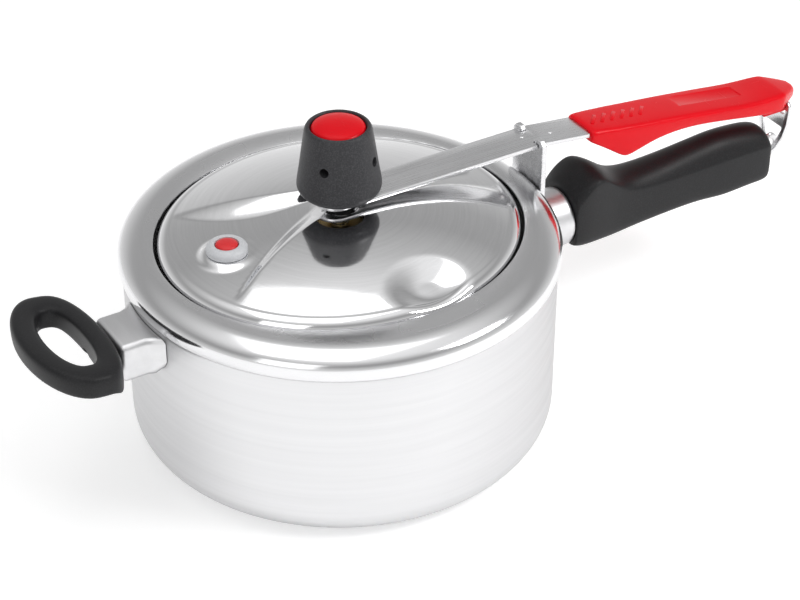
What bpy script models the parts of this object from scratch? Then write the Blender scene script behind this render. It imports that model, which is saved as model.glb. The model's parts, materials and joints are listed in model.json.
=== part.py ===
"""Stovetop pressure cooker with an inner oval lid, a clamping lever and a jiggler weight.

Frame: the origin is the centre of the pot's base, +X runs along the long handle and +Z is up.
Every length below is in millimetres; the meshes are built in metres through MM.
"""

import math

import bmesh
import bpy
from mathutils import Matrix, Vector

MM = 0.001
GAP = 0.3  # clearance kept between touching pieces

# Pot
WALL_RADIUS = 112.9
WALL_THICKNESS = 2.2
SHOULDER_RADIUS = 115.0
POT_HEIGHT = 115.0
RING_THICKNESS = 3.0
RING_OUTER = 101.0
SHOULDER_MID_Z = 106.5
CREASE_Z = 100.3
BASE_FILLET = 17.0
BASE_THICKNESS = 3.0
MOUTH_X = 97.5
MOUTH_Y = 88.9
OVAL = MOUTH_Y / MOUTH_X
POT_STEPS = 48
OVAL_STEPS = 48

# Lid
LID_WALL_X = MOUTH_X - 1.3
LID_FLANGE_X = 102.6
LID_THICKNESS = 2.0
FLANGE_Z = 109.4
DOME_RADIUS_X = 86.5
DOME_EDGE_Z = 117.4
DOME_RISE = 12.2
DOME_POWER = 2.3
CHANNEL_DEPTH = 3.4
CENTRE_PAD_RADIUS = 12.5
CENTRE_PAD_Z = DOME_EDGE_Z + DOME_RISE - CHANNEL_DEPTH
VALVE_X = -65.0
VALVE_PAD_Z = 122.4
VALVE_PAD_RADIUS = 11.0
DIMPLE = (3.0, -69.0)
DIMPLE_HALF = (21.0, 13.0)
DIMPLE_DEPTH = 3.4

# Lever: the strap rocks on the fulcrum bracket and on the lid's vent tube
STRAP_THICKNESS = 2.4
STRAP_BOTTOM_Z = 131.8
STRAP_TOP_Z = STRAP_BOTTOM_Z + STRAP_THICKNESS
STRAP_HALF_WIDTH = 10.5
STRAP_TAIL_X = -13.0
STRAP_BEND_X = 120.0
STRAP_SLOPE = 0.118
TANG_START_X = 148.6
TANG_END_X = 236.0
TANG_HALF_WIDTH = 7.0
NOTCH_DEPTH = 4.6
GRIP_START_X = 149.0
GRIP_END_X = 295.5
GRIP_SCREWS = {"grip_screw_front": 185.0, "grip_screw_rear": 208.0}

# Fulcrum bracket
BRACKET_X = 115.3
BRACKET_THICKNESS = 3.0
EAR_OUTER_Y = 14.0
EAR_TOP_Z = 136.6
BRACKET_FOOT_Z = 61.0

# Long handle
HANDLE_Z = 77.0
FERRULE_START_X = BRACKET_X + BRACKET_THICKNESS + GAP
FERRULE_END_X = 138.0
FERRULE_RADIUS = 17.4
HANDLE_START_X = FERRULE_END_X + GAP
HANDLE_END_X = 277.0
ROD_RADIUS = 3.0
EYE_X = 284.8
EYE_HALF_X = 4.6
EYE_HALF_Z = 6.0
EYE_WIRE = 1.5

# Latch ring, hinged in the eye and hooked in the grip's end groove
LATCH_HINGE = (284.8, 75.4)
LATCH_TOP = (288.0, 107.3)
LATCH_THICKNESS = 2.0
GROOVE_Z = (104.6, 109.2)
GROOVE_X = 285.6
SHELF_END_X = 289.2
SHELF_HALF_WIDTH = 8.2

# Helper handle
HELPER_CENTRE_X = -155.8
HELPER_HALF = (22.6, 43.0)
HELPER_HOLE_HALF = (10.6, 25.0)
HELPER_Z = (78.0, 101.0)
HELPER_BRACKET_END_X = -132.9
HELPER_BRACKET_Z = (75.5, 97.0)
HELPER_BRACKET_HALF = 16.0
HELPER_AXIS_Z = 87.0
RIVET_Y = 9.5

# Weight
WEIGHT_BOTTOM_Z = 136.6
WEIGHT_HOLE_Z = 158.6
TUBE_RADIUS = 4.5
TUBE_TOP_Z = 150.0

MATERIALS = {
    "polished_aluminium": ((0.86, 0.86, 0.87), 0.18, 1.0),
    "spun_aluminium": ((0.80, 0.80, 0.81), 0.35, 1.0),
    "bright_steel": ((0.72, 0.72, 0.73), 0.25, 1.0),
    "black_phenolic": ((0.025, 0.025, 0.027), 0.45, 0.0),
    "red_plastic": ((0.75, 0.01, 0.02), 0.22, 0.0),
    "black_rubber": ((0.03, 0.03, 0.03), 0.7, 0.0),
    "pale_plastic": ((0.62, 0.63, 0.64), 0.4, 0.0),
    "red_silicone": ((0.70, 0.02, 0.03), 0.5, 0.0),
    "brass": ((0.72, 0.53, 0.24), 0.3, 1.0),
}


# Scene and object helpers ---------------------------------------------------------------------


def clear_scene():
    for obj in list(bpy.data.objects):
        bpy.data.objects.remove(obj, do_unlink=True)


def new_collection(name):
    collection = bpy.data.collections.new(name)
    bpy.context.scene.collection.children.link(collection)
    return collection


def make_material(name):
    colour, roughness, metallic = MATERIALS[name]
    material = bpy.data.materials.new(name)
    material.use_nodes = True
    shader = material.node_tree.nodes["Principled BSDF"]
    shader.inputs["Base Color"].default_value = (*colour, 1.0)
    shader.inputs["Roughness"].default_value = roughness
    shader.inputs["Metallic"].default_value = metallic
    return material


clear_scene()
PARTS = new_collection("pressure_cooker")
CUTTERS = new_collection("cutters")
SLOTS = {name: make_material(name) for name in MATERIALS}


def add_object(name, data, material):
    """Links a new object with its material; a cutter has no material."""
    obj = bpy.data.objects.new(name, data)
    if material is None:
        CUTTERS.objects.link(obj)
        obj.hide_render = True
        obj.display_type = "WIRE"
        return obj
    PARTS.objects.link(obj)
    data.materials.append(SLOTS[material])
    return obj


def mesh_object(name, bm, material):
    mesh = bpy.data.meshes.new(name)
    bm.to_mesh(mesh)
    bm.free()
    mesh.shade_smooth()
    mesh.set_sharp_from_angle(angle=math.radians(35))
    return add_object(name, mesh, material)


def arc(centre, radii, start_deg, end_deg, steps):
    """Points of an elliptical arc, both ends included."""
    points = []
    for i in range(steps + 1):
        angle = math.radians(start_deg + (end_deg - start_deg) * i / steps)
        points.append((centre[0] + radii[0] * math.cos(angle), centre[1] + radii[1] * math.sin(angle)))
    return points


def ellipse(centre, radii, steps):
    return arc(centre, radii, 0, 360, steps)[:-1]


def rounded(corners, radius, steps=3):
    """A closed outline with each corner replaced by a quadratic fillet of about the radius."""
    points = []
    for i, corner in enumerate(corners):
        here = Vector(corner)
        before = (Vector(corners[i - 1]) - here).normalized() * radius + here
        after = (Vector(corners[(i + 1) % len(corners)]) - here).normalized() * radius + here
        for k in range(steps + 1):
            t = k / steps
            points.append(tuple(before * (1 - t) ** 2 + here * 2 * t * (1 - t) + after * t * t))
    return points


def turned(name, profile, material, axis="Z", origin=(0.0, 0.0, 0.0), steps=32, closed=False):
    """A profile of (radius, height) points swept round an axis, listed down its outer side."""
    bm = bmesh.new()
    verts = [bm.verts.new((radius * MM, 0.0, height * MM)) for radius, height in profile]
    for first, second in zip(verts, verts[1:]):
        bm.edges.new((first, second))
    if closed:
        bm.edges.new((verts[-1], verts[0]))
    obj = mesh_object(name, bm, material)
    obj.location = Vector(origin) * MM
    if axis == "X":
        obj.rotation_euler = (0.0, math.pi / 2, 0.0)
    screw = obj.modifiers.new("turn", "SCREW")
    screw.steps = steps
    screw.render_steps = steps
    screw.use_merge_vertices = True
    screw.merge_threshold = 0.00001
    screw.use_smooth_shade = True
    return obj


def block(name, low, high):
    """A cutter box between two corners."""
    bm = bmesh.new()
    centre = (Vector(low) + Vector(high)) / 2 * MM
    size = (Vector(high) - Vector(low)) * MM
    bmesh.ops.create_cube(bm, size=1.0, matrix=Matrix.Diagonal((*size, 1.0)))
    obj = mesh_object(name, bm, None)
    obj.location = centre
    return obj


def soften(obj, width):
    """Rounds the edges of a plate with a Bevel modifier."""
    bevel = obj.modifiers.new("edges", "BEVEL")
    bevel.width = width * MM
    bevel.segments = 2
    bevel.limit_method = "ANGLE"
    bevel.angle_limit = math.radians(40)


def cylinder(name, centre, radius, length, material, axis="Z", sides=24, spin_deg=0.0):
    """A round or polygonal bar centred on a point."""
    turn = {"X": Matrix.Rotation(math.pi / 2, 4, "Y"), "Y": Matrix.Rotation(math.pi / 2, 4, "X")}
    spin = Matrix.Rotation(math.radians(spin_deg), 4, "Z")
    bm = bmesh.new()
    bmesh.ops.create_cone(
        bm,
        cap_ends=True,
        segments=sides,
        radius1=radius * MM,
        radius2=radius * MM,
        depth=length * MM,
        matrix=turn.get(axis, Matrix.Identity(4)) @ spin,
    )
    obj = mesh_object(name, bm, material)
    obj.location = Vector(centre) * MM
    return obj


def flat_plate(name, outlines, thickness, material, placement):
    """A flat plate from 2D outlines (the first is the edge, the rest are holes), as a mesh."""
    curve = bpy.data.curves.new(name, "CURVE")
    curve.dimensions = "2D"
    curve.fill_mode = "BOTH"
    curve.extrude = thickness / 2 * MM
    for outline in outlines:
        spline = curve.splines.new("POLY")
        spline.points.add(len(outline) - 1)
        for point, (u, v) in zip(spline.points, outline):
            point.co = (u * MM, v * MM, 0.0, 1.0)
        spline.use_cyclic_u = True
    return curve_to_mesh(name, curve, material, placement)


def curve_to_mesh(name, curve, material, placement):
    """Turns a curve into a welded mesh object at the given placement."""
    guide = bpy.data.objects.new(name + "_guide", curve)
    bpy.context.scene.collection.objects.link(guide)
    guide.matrix_world = placement
    bpy.context.view_layer.update()
    evaluated = guide.evaluated_get(bpy.context.evaluated_depsgraph_get())
    mesh = bpy.data.meshes.new_from_object(evaluated)
    mesh.materials.clear()
    bm = bmesh.new()
    bm.from_mesh(mesh)
    bmesh.ops.remove_doubles(bm, verts=bm.verts, dist=0.000005)
    bmesh.ops.recalc_face_normals(bm, faces=bm.faces)
    bpy.data.meshes.remove(mesh)
    obj = mesh_object(name, bm, material)
    obj.matrix_world = guide.matrix_world.copy()
    bpy.data.objects.remove(guide, do_unlink=True)
    return obj


def boolean(target, tool, operation="DIFFERENCE"):
    modifier = target.modifiers.new(tool.name, "BOOLEAN")
    modifier.operation = operation
    modifier.solver = "EXACT"
    modifier.object = tool


def bore(target, name, centre, radius, length, axis="Z", sides=20, spin_deg=4.0):
    """Cuts a round hole through a part."""
    boolean(target, cylinder(name, centre, radius, length, None, axis, sides, spin_deg))


def standing_plane(x, z_origin=0.0, lean=0.0):
    """Placement whose local x is world Y, local y is world Z and local z is world X."""
    axes = Matrix(((0.0, 0.0, 1.0), (1.0, 0.0, 0.0), (0.0, 1.0, 0.0))).to_4x4()
    place = Matrix.Translation(Vector((x, 0.0, z_origin)) * MM)
    return place @ Matrix.Rotation(lean, 4, "Y") @ axes


def side_plane():
    """Placement whose local x is world X, local y is world Z and local z is world -Y."""
    return Matrix.Rotation(math.pi / 2, 4, "X")


def loft(name, sections, material):
    """A closed skin through equal rings of 3D points."""
    bm = bmesh.new()
    rings = []
    for section in sections:
        verts = [bm.verts.new(Vector(point) * MM) for point in section]
        rings.append([bm.edges.new((verts[i - 1], verts[i])) for i in range(len(verts))])
    for first, second in zip(rings, rings[1:]):
        bmesh.ops.bridge_loops(bm, edges=first + second)
    bmesh.ops.holes_fill(bm, edges=rings[0] + rings[-1], sides=0)
    bmesh.ops.recalc_face_normals(bm, faces=bm.faces)
    return mesh_object(name, bm, material)


# Pot ------------------------------------------------------------------------------------------


def pot_body():
    """Spun pot: flat base, straight wall, rolled shoulder and an inward ring with an oval mouth."""
    inner_wall = WALL_RADIUS - WALL_THICKNESS
    corner = WALL_RADIUS - BASE_FILLET
    inside = [(0.0, BASE_THICKNESS), (corner * 0.6, BASE_THICKNESS)]
    inside += arc((corner, BASE_FILLET), (inner_wall - corner, BASE_FILLET - BASE_THICKNESS), -90, 0, 4)
    inside += [(inner_wall, CREASE_Z - 2.0)]
    shoulder_inner = (SHOULDER_RADIUS - 2.8 - RING_OUTER, POT_HEIGHT - RING_THICKNESS - SHOULDER_MID_Z)
    inside += arc((RING_OUTER, SHOULDER_MID_Z), shoulder_inner, 0, 90, 4)
    inside += [(MOUTH_Y - 6.0, POT_HEIGHT - RING_THICKNESS)]
    outside = [(MOUTH_Y - 6.0, POT_HEIGHT)]
    shoulder_outer = (SHOULDER_RADIUS - RING_OUTER, POT_HEIGHT - SHOULDER_MID_Z)
    outside += arc((RING_OUTER, SHOULDER_MID_Z), shoulder_outer, 90, 0, 6)
    under_bead = (SHOULDER_RADIUS - WALL_RADIUS, SHOULDER_MID_Z - CREASE_Z)
    outside += arc((WALL_RADIUS, SHOULDER_MID_Z), under_bead, 0, -90, 3)[1:]
    outside += arc((corner, BASE_FILLET), (BASE_FILLET, BASE_FILLET), 0, -90, 5)
    outside += [(corner * 0.6, 0.0), (0.0, 0.0)]
    body = turned("pot_body", inside + outside, "spun_aluminium", steps=POT_STEPS)
    boolean(body, oval_cutter("mouth_cutter", MOUTH_X, POT_HEIGHT - 12.0, POT_HEIGHT + 12.0))
    for side in (-1, 1):
        bore(body, f"wall_rivet_hole_{side}", (-WALL_RADIUS, side * RIVET_Y, HELPER_AXIS_Z), 2.8, 16.0, "X", 12)


def oval_cutter(name, half_x, low_z, high_z, sides=64):
    """An upright oval column with the mouth's proportions."""
    bm = bmesh.new()
    squash = Matrix.Diagonal((1.0, OVAL, 1.0, 1.0))
    height = (high_z - low_z) * MM
    radius = half_x * MM
    bmesh.ops.create_cone(
        bm, cap_ends=True, segments=sides, radius1=radius, radius2=radius, depth=height, matrix=squash
    )
    obj = mesh_object(name, bm, None)
    obj.location = (0.0, 0.0, (low_z + high_z) / 2 * MM)
    return obj


def wall_cutter(name, low_z, high_z):
    """The pot wall's cylinder, enlarged by the fitting gap."""
    centre = (0.0, 0.0, (low_z + high_z) / 2)
    return cylinder(name, centre, WALL_RADIUS + GAP, high_z - low_z, None, sides=144)


# Lid ------------------------------------------------------------------------------------------


def smooth_step(low, high, value):
    t = min(max((value - low) / (high - low), 0.0), 1.0)
    return t * t * (3.0 - 2.0 * t)


def channel_mask(x, y):
    """1 inside the pressed keyhole: a wedge on the valve side, a narrow channel under the strap."""
    if x < 0.0:
        back = 15.0 - 0.62 * x
        front = 6.5 + 0.0047 * x * x
    else:
        back = 9.5 + 8.0 * smooth_step(78.0, 92.0, x)
        front = back
    side = smooth_step(0.0, 4.0, back - y) * smooth_step(0.0, 4.0, y + front)
    pad = smooth_step(CENTRE_PAD_RADIUS + 4.0, CENTRE_PAD_RADIUS, math.hypot(x, y))
    return max(side, pad)


def lid_height(x, y):
    """Height of the lid's top skin inside its rim bead."""
    reach = min(math.hypot(x, y / OVAL) / DOME_RADIUS_X, 1.0)
    height = DOME_EDGE_Z + DOME_RISE * (1.0 - reach**DOME_POWER)
    height -= CHANNEL_DEPTH * channel_mask(x, y) * smooth_step(1.0, 0.84, reach)
    dimple = math.hypot((x - DIMPLE[0]) / DIMPLE_HALF[0], (y - DIMPLE[1]) / DIMPLE_HALF[1])
    height -= DIMPLE_DEPTH * smooth_step(1.0, 0.35, dimple) * smooth_step(1.0, 0.95, reach)
    centre = smooth_step(CENTRE_PAD_RADIUS + 3.0, CENTRE_PAD_RADIUS, math.hypot(x, y))
    height += (CENTRE_PAD_Z - height) * centre
    valve = smooth_step(VALVE_PAD_RADIUS + 5.0, VALVE_PAD_RADIUS, math.hypot(x - VALVE_X, y))
    return height + (VALVE_PAD_Z - height) * valve


def lid():
    """Oval pressed lid: seating flange, upright wall through the mouth, rim bead and dished dome."""
    rim = [(LID_FLANGE_X, FLANGE_Z), (LID_WALL_X + 1.2, FLANGE_Z), (LID_WALL_X, FLANGE_Z + 1.2)]
    rim += [(LID_WALL_X, 115.0), (LID_WALL_X - 1.4, 116.8), (LID_WALL_X - 4.0, 117.5)]
    dome = [DOME_RADIUS_X * step for step in (1.0, 0.93, 0.84, 0.73, 0.6, 0.48, 0.36, 0.26)]
    dome += [CENTRE_PAD_RADIUS + 4.0, CENTRE_PAD_RADIUS]
    bm = bmesh.new()
    points = rim + [(radius, DOME_EDGE_Z) for radius in dome]
    verts = [bm.verts.new((radius * MM, 0.0, z * MM)) for radius, z in points]
    edges = [bm.edges.new(pair) for pair in zip(verts, verts[1:])]
    full_turn = 2 * math.pi
    bmesh.ops.spin(
        bm, geom=verts + edges, cent=(0, 0, 0), axis=(0, 0, 1), angle=full_turn, steps=OVAL_STEPS, use_merge=True
    )
    bmesh.ops.scale(bm, vec=(1.0, OVAL, 1.0), verts=bm.verts)
    for vert in bm.verts:
        if math.hypot(vert.co.x, vert.co.y / OVAL) <= (DOME_RADIUS_X + 0.1) * MM:
            vert.co.z = lid_height(vert.co.x / MM, vert.co.y / MM) * MM
    centre = [vert for vert in bm.verts if vert.co.xy.length < (CENTRE_PAD_RADIUS + 1.0) * MM]
    rim_of_hole = [edge for edge in bm.edges if edge.is_boundary and edge.verts[0] in centre]
    bmesh.ops.holes_fill(bm, edges=rim_of_hole, sides=0)
    bmesh.ops.recalc_face_normals(bm, faces=bm.faces)
    bm.faces.ensure_lookup_table()
    if sum(face.normal.z for face in bm.faces) < 0:
        bmesh.ops.reverse_faces(bm, faces=bm.faces)
    obj = mesh_object("lid", bm, "polished_aluminium")
    shell = obj.modifiers.new("thickness", "SOLIDIFY")
    shell.thickness = LID_THICKNESS * MM
    shell.offset = -1.0
    bore(obj, "stem_hole", (0.0, 0.0, CENTRE_PAD_Z), TUBE_RADIUS + GAP, 20.0)
    bore(obj, "valve_hole", (VALVE_X, 0.0, VALVE_PAD_Z), 5.3, 20.0)
    return obj


def lid_gasket():
    """C-section rubber ring wrapped round the lid's flange."""
    inner = LID_WALL_X + 1.8
    outer = LID_FLANGE_X + 2.0
    slot = LID_FLANGE_X + GAP + 0.1
    bottom = FLANGE_Z - LID_THICKNESS
    profile = [(inner, POT_HEIGHT - RING_THICKNESS - GAP), (outer - 1.0, POT_HEIGHT - RING_THICKNESS - GAP)]
    profile += [(outer, 110.8), (outer, 106.6), (outer - 1.0, 105.6), (inner + 1.0, 105.6)]
    profile += [(inner + 1.0, bottom - GAP), (slot, bottom - GAP), (slot, FLANGE_Z + GAP), (inner, FLANGE_Z + GAP)]
    bm = bmesh.new()
    verts = [bm.verts.new((radius * MM, 0.0, z * MM)) for radius, z in profile]
    edges = [bm.edges.new((verts[i - 1], verts[i])) for i in range(len(verts))]
    full_turn = 2 * math.pi
    bmesh.ops.spin(
        bm, geom=verts + edges, cent=(0, 0, 0), axis=(0, 0, 1), angle=full_turn, steps=OVAL_STEPS, use_merge=True
    )
    bmesh.ops.scale(bm, vec=(1.0, OVAL, 1.0), verts=bm.verts)
    bmesh.ops.recalc_face_normals(bm, faces=bm.faces)
    mesh_object("lid_gasket", bm, "black_rubber")


def vent_tube():
    """Steam tube through the lid, its flange below, the weight's seat on top."""
    top = CENTRE_PAD_Z - LID_THICKNESS - GAP
    profile = [(1.6, TUBE_TOP_Z), (2.6, TUBE_TOP_Z), (TUBE_RADIUS, TUBE_TOP_Z - 2.5), (TUBE_RADIUS, top)]
    profile += [(9.0, top), (9.0, top - 3.0), (1.6, top - 3.0)]
    turned("vent_tube", profile, "bright_steel", steps=24, closed=True)


def washer(name, centre, outer, inner, thickness, material, axis="Z", steps=24):
    half = thickness / 2
    profile = [(inner, half), (outer, half), (outer, -half), (inner, -half)]
    turned(name, profile, material, axis, centre, steps, closed=True)


def hex_nut(name, centre, radius, thickness, hole, material, axis="Z"):
    nut = cylinder(name, centre, radius, thickness, material, axis, sides=6)
    bore(nut, name + "_thread", centre, hole, thickness * 3, axis)
    return nut


def lever_fixings():
    """Washer below the strap and nut above it, both leaving room for the strap to rock."""
    rock = math.sin(math.radians(7.0))
    washer_top = STRAP_BOTTOM_Z - 7.0 * rock - GAP
    washer_bottom = CENTRE_PAD_Z + GAP
    middle = (washer_top + washer_bottom) / 2
    hole = TUBE_RADIUS + GAP
    washer("lever_washer", (0, 0, middle), 7.0, hole, washer_top - washer_bottom, "black_rubber")
    nut_bottom = STRAP_TOP_Z + 7.6 * rock + GAP
    hex_nut("lever_nut", (0, 0, nut_bottom + 1.5), 7.5, 3.0, hole, "bright_steel")


def safety_valve():
    """Pale ring seated on the lid, its red plug and the retainer below the lid."""
    seat = VALVE_PAD_Z + GAP
    ring = [(6.2, seat + 4.5), (8.6, seat + 4.5), (10.4, seat + 2.6), (10.6, seat), (5.0, seat)]
    ring += [(5.0, seat - 5.6), (2.6, seat - 5.6), (2.6, seat + 1.0), (6.2, seat + 1.0)]
    turned("valve_ring", ring, "pale_plastic", origin=(VALVE_X, 0, 0), steps=20, closed=True)
    plug = [(0.0, seat + 5.3), (3.4, seat + 5.1), (5.2, seat + 4.5), (5.8, seat + 3.6), (5.8, seat + 1.3)]
    plug += [(2.3, seat + 1.3), (2.3, seat - 6.6), (0.0, seat - 6.6)]
    turned("valve_plug", plug, "red_silicone", origin=(VALVE_X, 0, 0), steps=16)
    under = VALVE_PAD_Z - LID_THICKNESS - GAP
    washer("valve_retainer", (VALVE_X, 0, under - 1.7), 7.6, 5.3, 2.4, "bright_steel")


# Weight ---------------------------------------------------------------------------------------


def weight():
    """Jiggler weight: phenolic shell with vent holes, brass core and red cap."""
    shell = [(0.0, 171.2), (14.4, 171.2), (14.4, 175.4), (15.4, 175.9), (17.0, 174.4), (17.8, 171.4)]
    shell += [(20.3, 153.0), (21.8, 143.4), (21.6, 140.6), (19.6, 138.4), (15.5, WEIGHT_BOTTOM_Z)]
    shell += [(13.2, WEIGHT_BOTTOM_Z), (13.2, 166.6), (0.0, 166.6)]
    body = turned("weight_shell", shell, "black_phenolic", steps=28)
    for k in range(4):
        angle = math.radians(38.0 + 90.0 * k)
        spot = Vector((math.cos(angle), math.sin(angle), 0.0)) * 17.0
        hole = cylinder(f"vent_hole_{k}", (spot.x, spot.y, WEIGHT_HOLE_Z), 2.5, 12.0, None, "X", 12)
        hole.rotation_euler = (0.0, 0.0, angle)
        boolean(body, hole)
    core = [(0.0, 166.0), (8.5, 166.0), (8.5, 153.5), (12.7, 152.5), (12.7, 141.0), (5.2, 141.0)]
    core += [(5.2, TUBE_TOP_Z - 2.1), (2.9, TUBE_TOP_Z + 0.4), (0.0, TUBE_TOP_Z + 0.4)]
    turned("weight_core", core, "brass", steps=24)
    cap = [(0.0, 177.4), (6.0, 177.1), (10.5, 176.2), (13.3, 175.0), (14.0, 173.8), (14.0, 171.5), (0.0, 171.5)]
    turned("weight_cap", cap, "red_plastic", steps=28)


# Lever ----------------------------------------------------------------------------------------


def strap_height(x):
    """Height of the strap's underside along the lever."""
    return STRAP_BOTTOM_Z - STRAP_SLOPE * max(x - STRAP_BEND_X, 0.0)


def lever_strap():
    """Steel strap: its side outline, trimmed by its plan outline with stem hole and ear notches."""
    stations = [STRAP_TAIL_X - 2.0, STRAP_BEND_X - 2.0, STRAP_BEND_X, STRAP_BEND_X + 2.0, TANG_END_X + 2.0]
    lower = [(x, strap_height(x)) for x in stations]
    upper = [(x, strap_height(x) + STRAP_THICKNESS) for x in reversed(stations)]
    strap = flat_plate("lever_strap", [lower + upper], 2 * STRAP_HALF_WIDTH + 4, "bright_steel", side_plane())
    wide = STRAP_HALF_WIDTH
    neck = STRAP_HALF_WIDTH - NOTCH_DEPTH
    notch = (BRACKET_X - 0.9, BRACKET_X + BRACKET_THICKNESS + 0.9)
    right = [(notch[0], -wide), (notch[0], -neck), (notch[1], -neck), (notch[1], -wide)]
    right += [(TANG_START_X, -wide), (TANG_START_X, -TANG_HALF_WIDTH), (TANG_END_X, -TANG_HALF_WIDTH)]
    left = [(x, -y) for x, y in reversed(right)]
    tail = arc((STRAP_TAIL_X + wide, 0.0), (wide, wide), 90, 270, 12)
    holes = [ellipse((0.0, 0.0), (6.0, 6.0), 20)]
    holes += [ellipse((x, 0.0), (2.3, 2.3), 12) for x in GRIP_SCREWS.values()]
    plan = flat_plate("strap_plan", [right + left + tail] + holes, 200.0, None, Matrix.Translation((0, 0, 0.1)))
    boolean(strap, plan, "INTERSECT")


def grip_section(x, top, bottom, half):
    """Rounded six-sided section of the grip: nearly flat top, bevelled ridges, tapering skirt."""
    side = half * 0.93
    right = [(0.0, top), (half * 0.55, top - 0.1), (half - 1.4, top - 0.7), (half, top - 2.2)]
    right += [(side, bottom + 1.4), (side - 1.4, bottom)]
    left = [(-y, z) for y, z in reversed(right[1:])]
    return [(x, y, z) for y, z in right + left]


def lever_grip():
    """Moulded grip with a downward finger stop, a widened end and a groove for the latch ring."""
    stations = [
        (GRIP_START_X, 131.9, 126.0, 11.2),
        (GRIP_START_X + 2.0, 132.8, 123.8, 12.7),
        (158.0, 132.2, 119.6, 13.2),
        (166.0, 131.1, 114.0, 13.6),
        (172.5, 130.3, 110.1, 13.9),
        (179.0, 129.5, 111.2, 14.0),
        (187.0, 128.5, 113.6, 14.1),
        (196.0, 127.4, 115.5, 14.2),
        (210.0, 125.7, 116.2, 14.3),
        (224.0, 123.8, 115.0, 14.4),
        (240.0, 121.6, 112.4, 14.5),
        (256.0, 119.3, 109.0, 14.6),
        (268.0, 118.5, 105.0, 14.4),
        (278.0, 118.2, 102.4, 13.9),
        (283.0, 117.8, 102.4, 12.7),
        (290.0, 116.4, 103.6, 8.6),
        (GRIP_END_X, 114.7, 106.8, 5.0),
    ]
    grip = loft("lever_grip", [grip_section(*station) for station in stations], "red_plastic")
    low = GRIP_START_X - 4.0
    high = TANG_END_X + 0.5
    floor = [(x, strap_height(x) - GAP) for x in (low, high)]
    roof = [(x, strap_height(x) + STRAP_THICKNESS + GAP) for x in (high, low)]
    slot = flat_plate("tang_slot", [floor + roof], 2 * TANG_HALF_WIDTH + 2 * GAP, None, side_plane())
    boolean(grip, slot)
    boolean(grip, block("latch_groove", (GROOVE_X, -20, GROOVE_Z[0]), (300, 20, GROOVE_Z[1])))
    boolean(grip, block("shelf_end", (SHELF_END_X, -20, 95), (301, 20, GROOVE_Z[1] - 0.2)))
    for side in (-1, 1):
        inner = side * SHELF_HALF_WIDTH
        outer = side * 20.5
        low_y, high_y = sorted((inner, outer))
        corner = block(f"shelf_side_{side}", (GROOVE_X + 0.2, low_y, 94), (302, high_y, GROOVE_Z[1] - 0.1))
        boolean(grip, corner)
    for name, x in GRIP_SCREWS.items():
        grip_screw(grip, name, x)


def grip_screw(grip, name, x):
    """Pan-head screw from below, through the tang and into the grip's top wall."""
    head_top = strap_height(x) - 4.0
    shank_top = strap_height(x) + STRAP_THICKNESS + 1.0
    bore(grip, name + "_recess", (x, 0, head_top - 15.0 + GAP), 4.3, 30.0)
    bore(grip, name + "_thread", (x, 0, shank_top - 6.0 + GAP), 2.2, 12.0, sides=16)
    profile = [(0.0, shank_top), (1.9, shank_top), (1.9, head_top), (4.0, head_top)]
    profile += [(4.0, head_top - 1.6), (2.8, head_top - 2.6), (0.0, head_top - 2.6)]
    turned(name, profile, "bright_steel", origin=(x, 0, 0), steps=20)


def fulcrum_bracket():
    """Flat plate standing against the shoulder: two ears, a relieved notch and the stud hole."""
    inner = STRAP_HALF_WIDTH - NOTCH_DEPTH + 0.4
    rest = STRAP_BOTTOM_Z - GAP
    ear = [(EAR_OUTER_Y, EAR_TOP_Z - 2.5), (EAR_OUTER_Y - 2.5, EAR_TOP_Z), (inner + 1.5, EAR_TOP_Z)]
    ear += [(inner, EAR_TOP_Z - 1.5), (inner, rest - 3.0), (inner - 2.0, rest - 3.0), (inner - 3.4, rest)]
    foot = arc((0.0, BRACKET_FOOT_Z + EAR_OUTER_Y), (EAR_OUTER_Y, EAR_OUTER_Y), 180, 360, 12)
    outline = ear + [(-y, z) for y, z in reversed(ear)] + foot
    hole = ellipse((0.0, HANDLE_Z), (6.3, 6.3), 24)
    place = standing_plane(BRACKET_X + BRACKET_THICKNESS / 2)
    flat_plate("fulcrum_bracket", [outline, hole], BRACKET_THICKNESS, "bright_steel", place)


# Long handle ----------------------------------------------------------------------------------


def handle_stud():
    """Stud on the pot wall: a pad shaped to the wall and a threaded boss for the tie rod."""
    pad_end = BRACKET_X - GAP
    boss_end = FERRULE_END_X - 5.0
    bore_start = pad_end + 3.0
    thread = ROD_RADIUS + GAP
    profile = [(0.0, bore_start), (thread, bore_start), (thread, boss_end), (6.0, boss_end), (6.0, pad_end)]
    profile += [(13.0, pad_end), (13.0, 106.0), (0.0, 106.0)]
    stud = turned("handle_stud", profile, "spun_aluminium", "X", (0, 0, HANDLE_Z), 28)
    boolean(stud, wall_cutter("stud_seat", 40.0, 110.0))


def handle_ferrule():
    """Hollow conical ferrule between the bracket and the handle."""
    wall = 2.4
    start, end = FERRULE_START_X, FERRULE_END_X
    hole = ROD_RADIUS + 0.5
    profile = [(hole, end), (FERRULE_RADIUS - 1.0, end), (FERRULE_RADIUS, start)]
    profile += [(FERRULE_RADIUS - wall, start), (FERRULE_RADIUS - 1.0 - wall, end - 3.0), (hole, end - 3.0)]
    turned("handle_ferrule", profile, "spun_aluminium", "X", (0, 0, HANDLE_Z), 28, closed=True)


def handle_section(x, top, bottom, half):
    """Rounded section of the handle: flat bottom with soft corners, bevelled and crowned top."""
    ridge = bottom + (top - bottom) * 0.66
    right = [(0.0, top), (half * 0.5, top - (top - ridge) * 0.16), (half * 0.84, top - (top - ridge) * 0.5)]
    right += [(half, ridge - 1.0), (half, bottom + 6.5), (half * 0.8, bottom + 1.4), (half * 0.4, bottom)]
    left = [(-y, z) for y, z in reversed(right[1:])]
    return [(x, y, z) for y, z in right + left]


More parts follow.
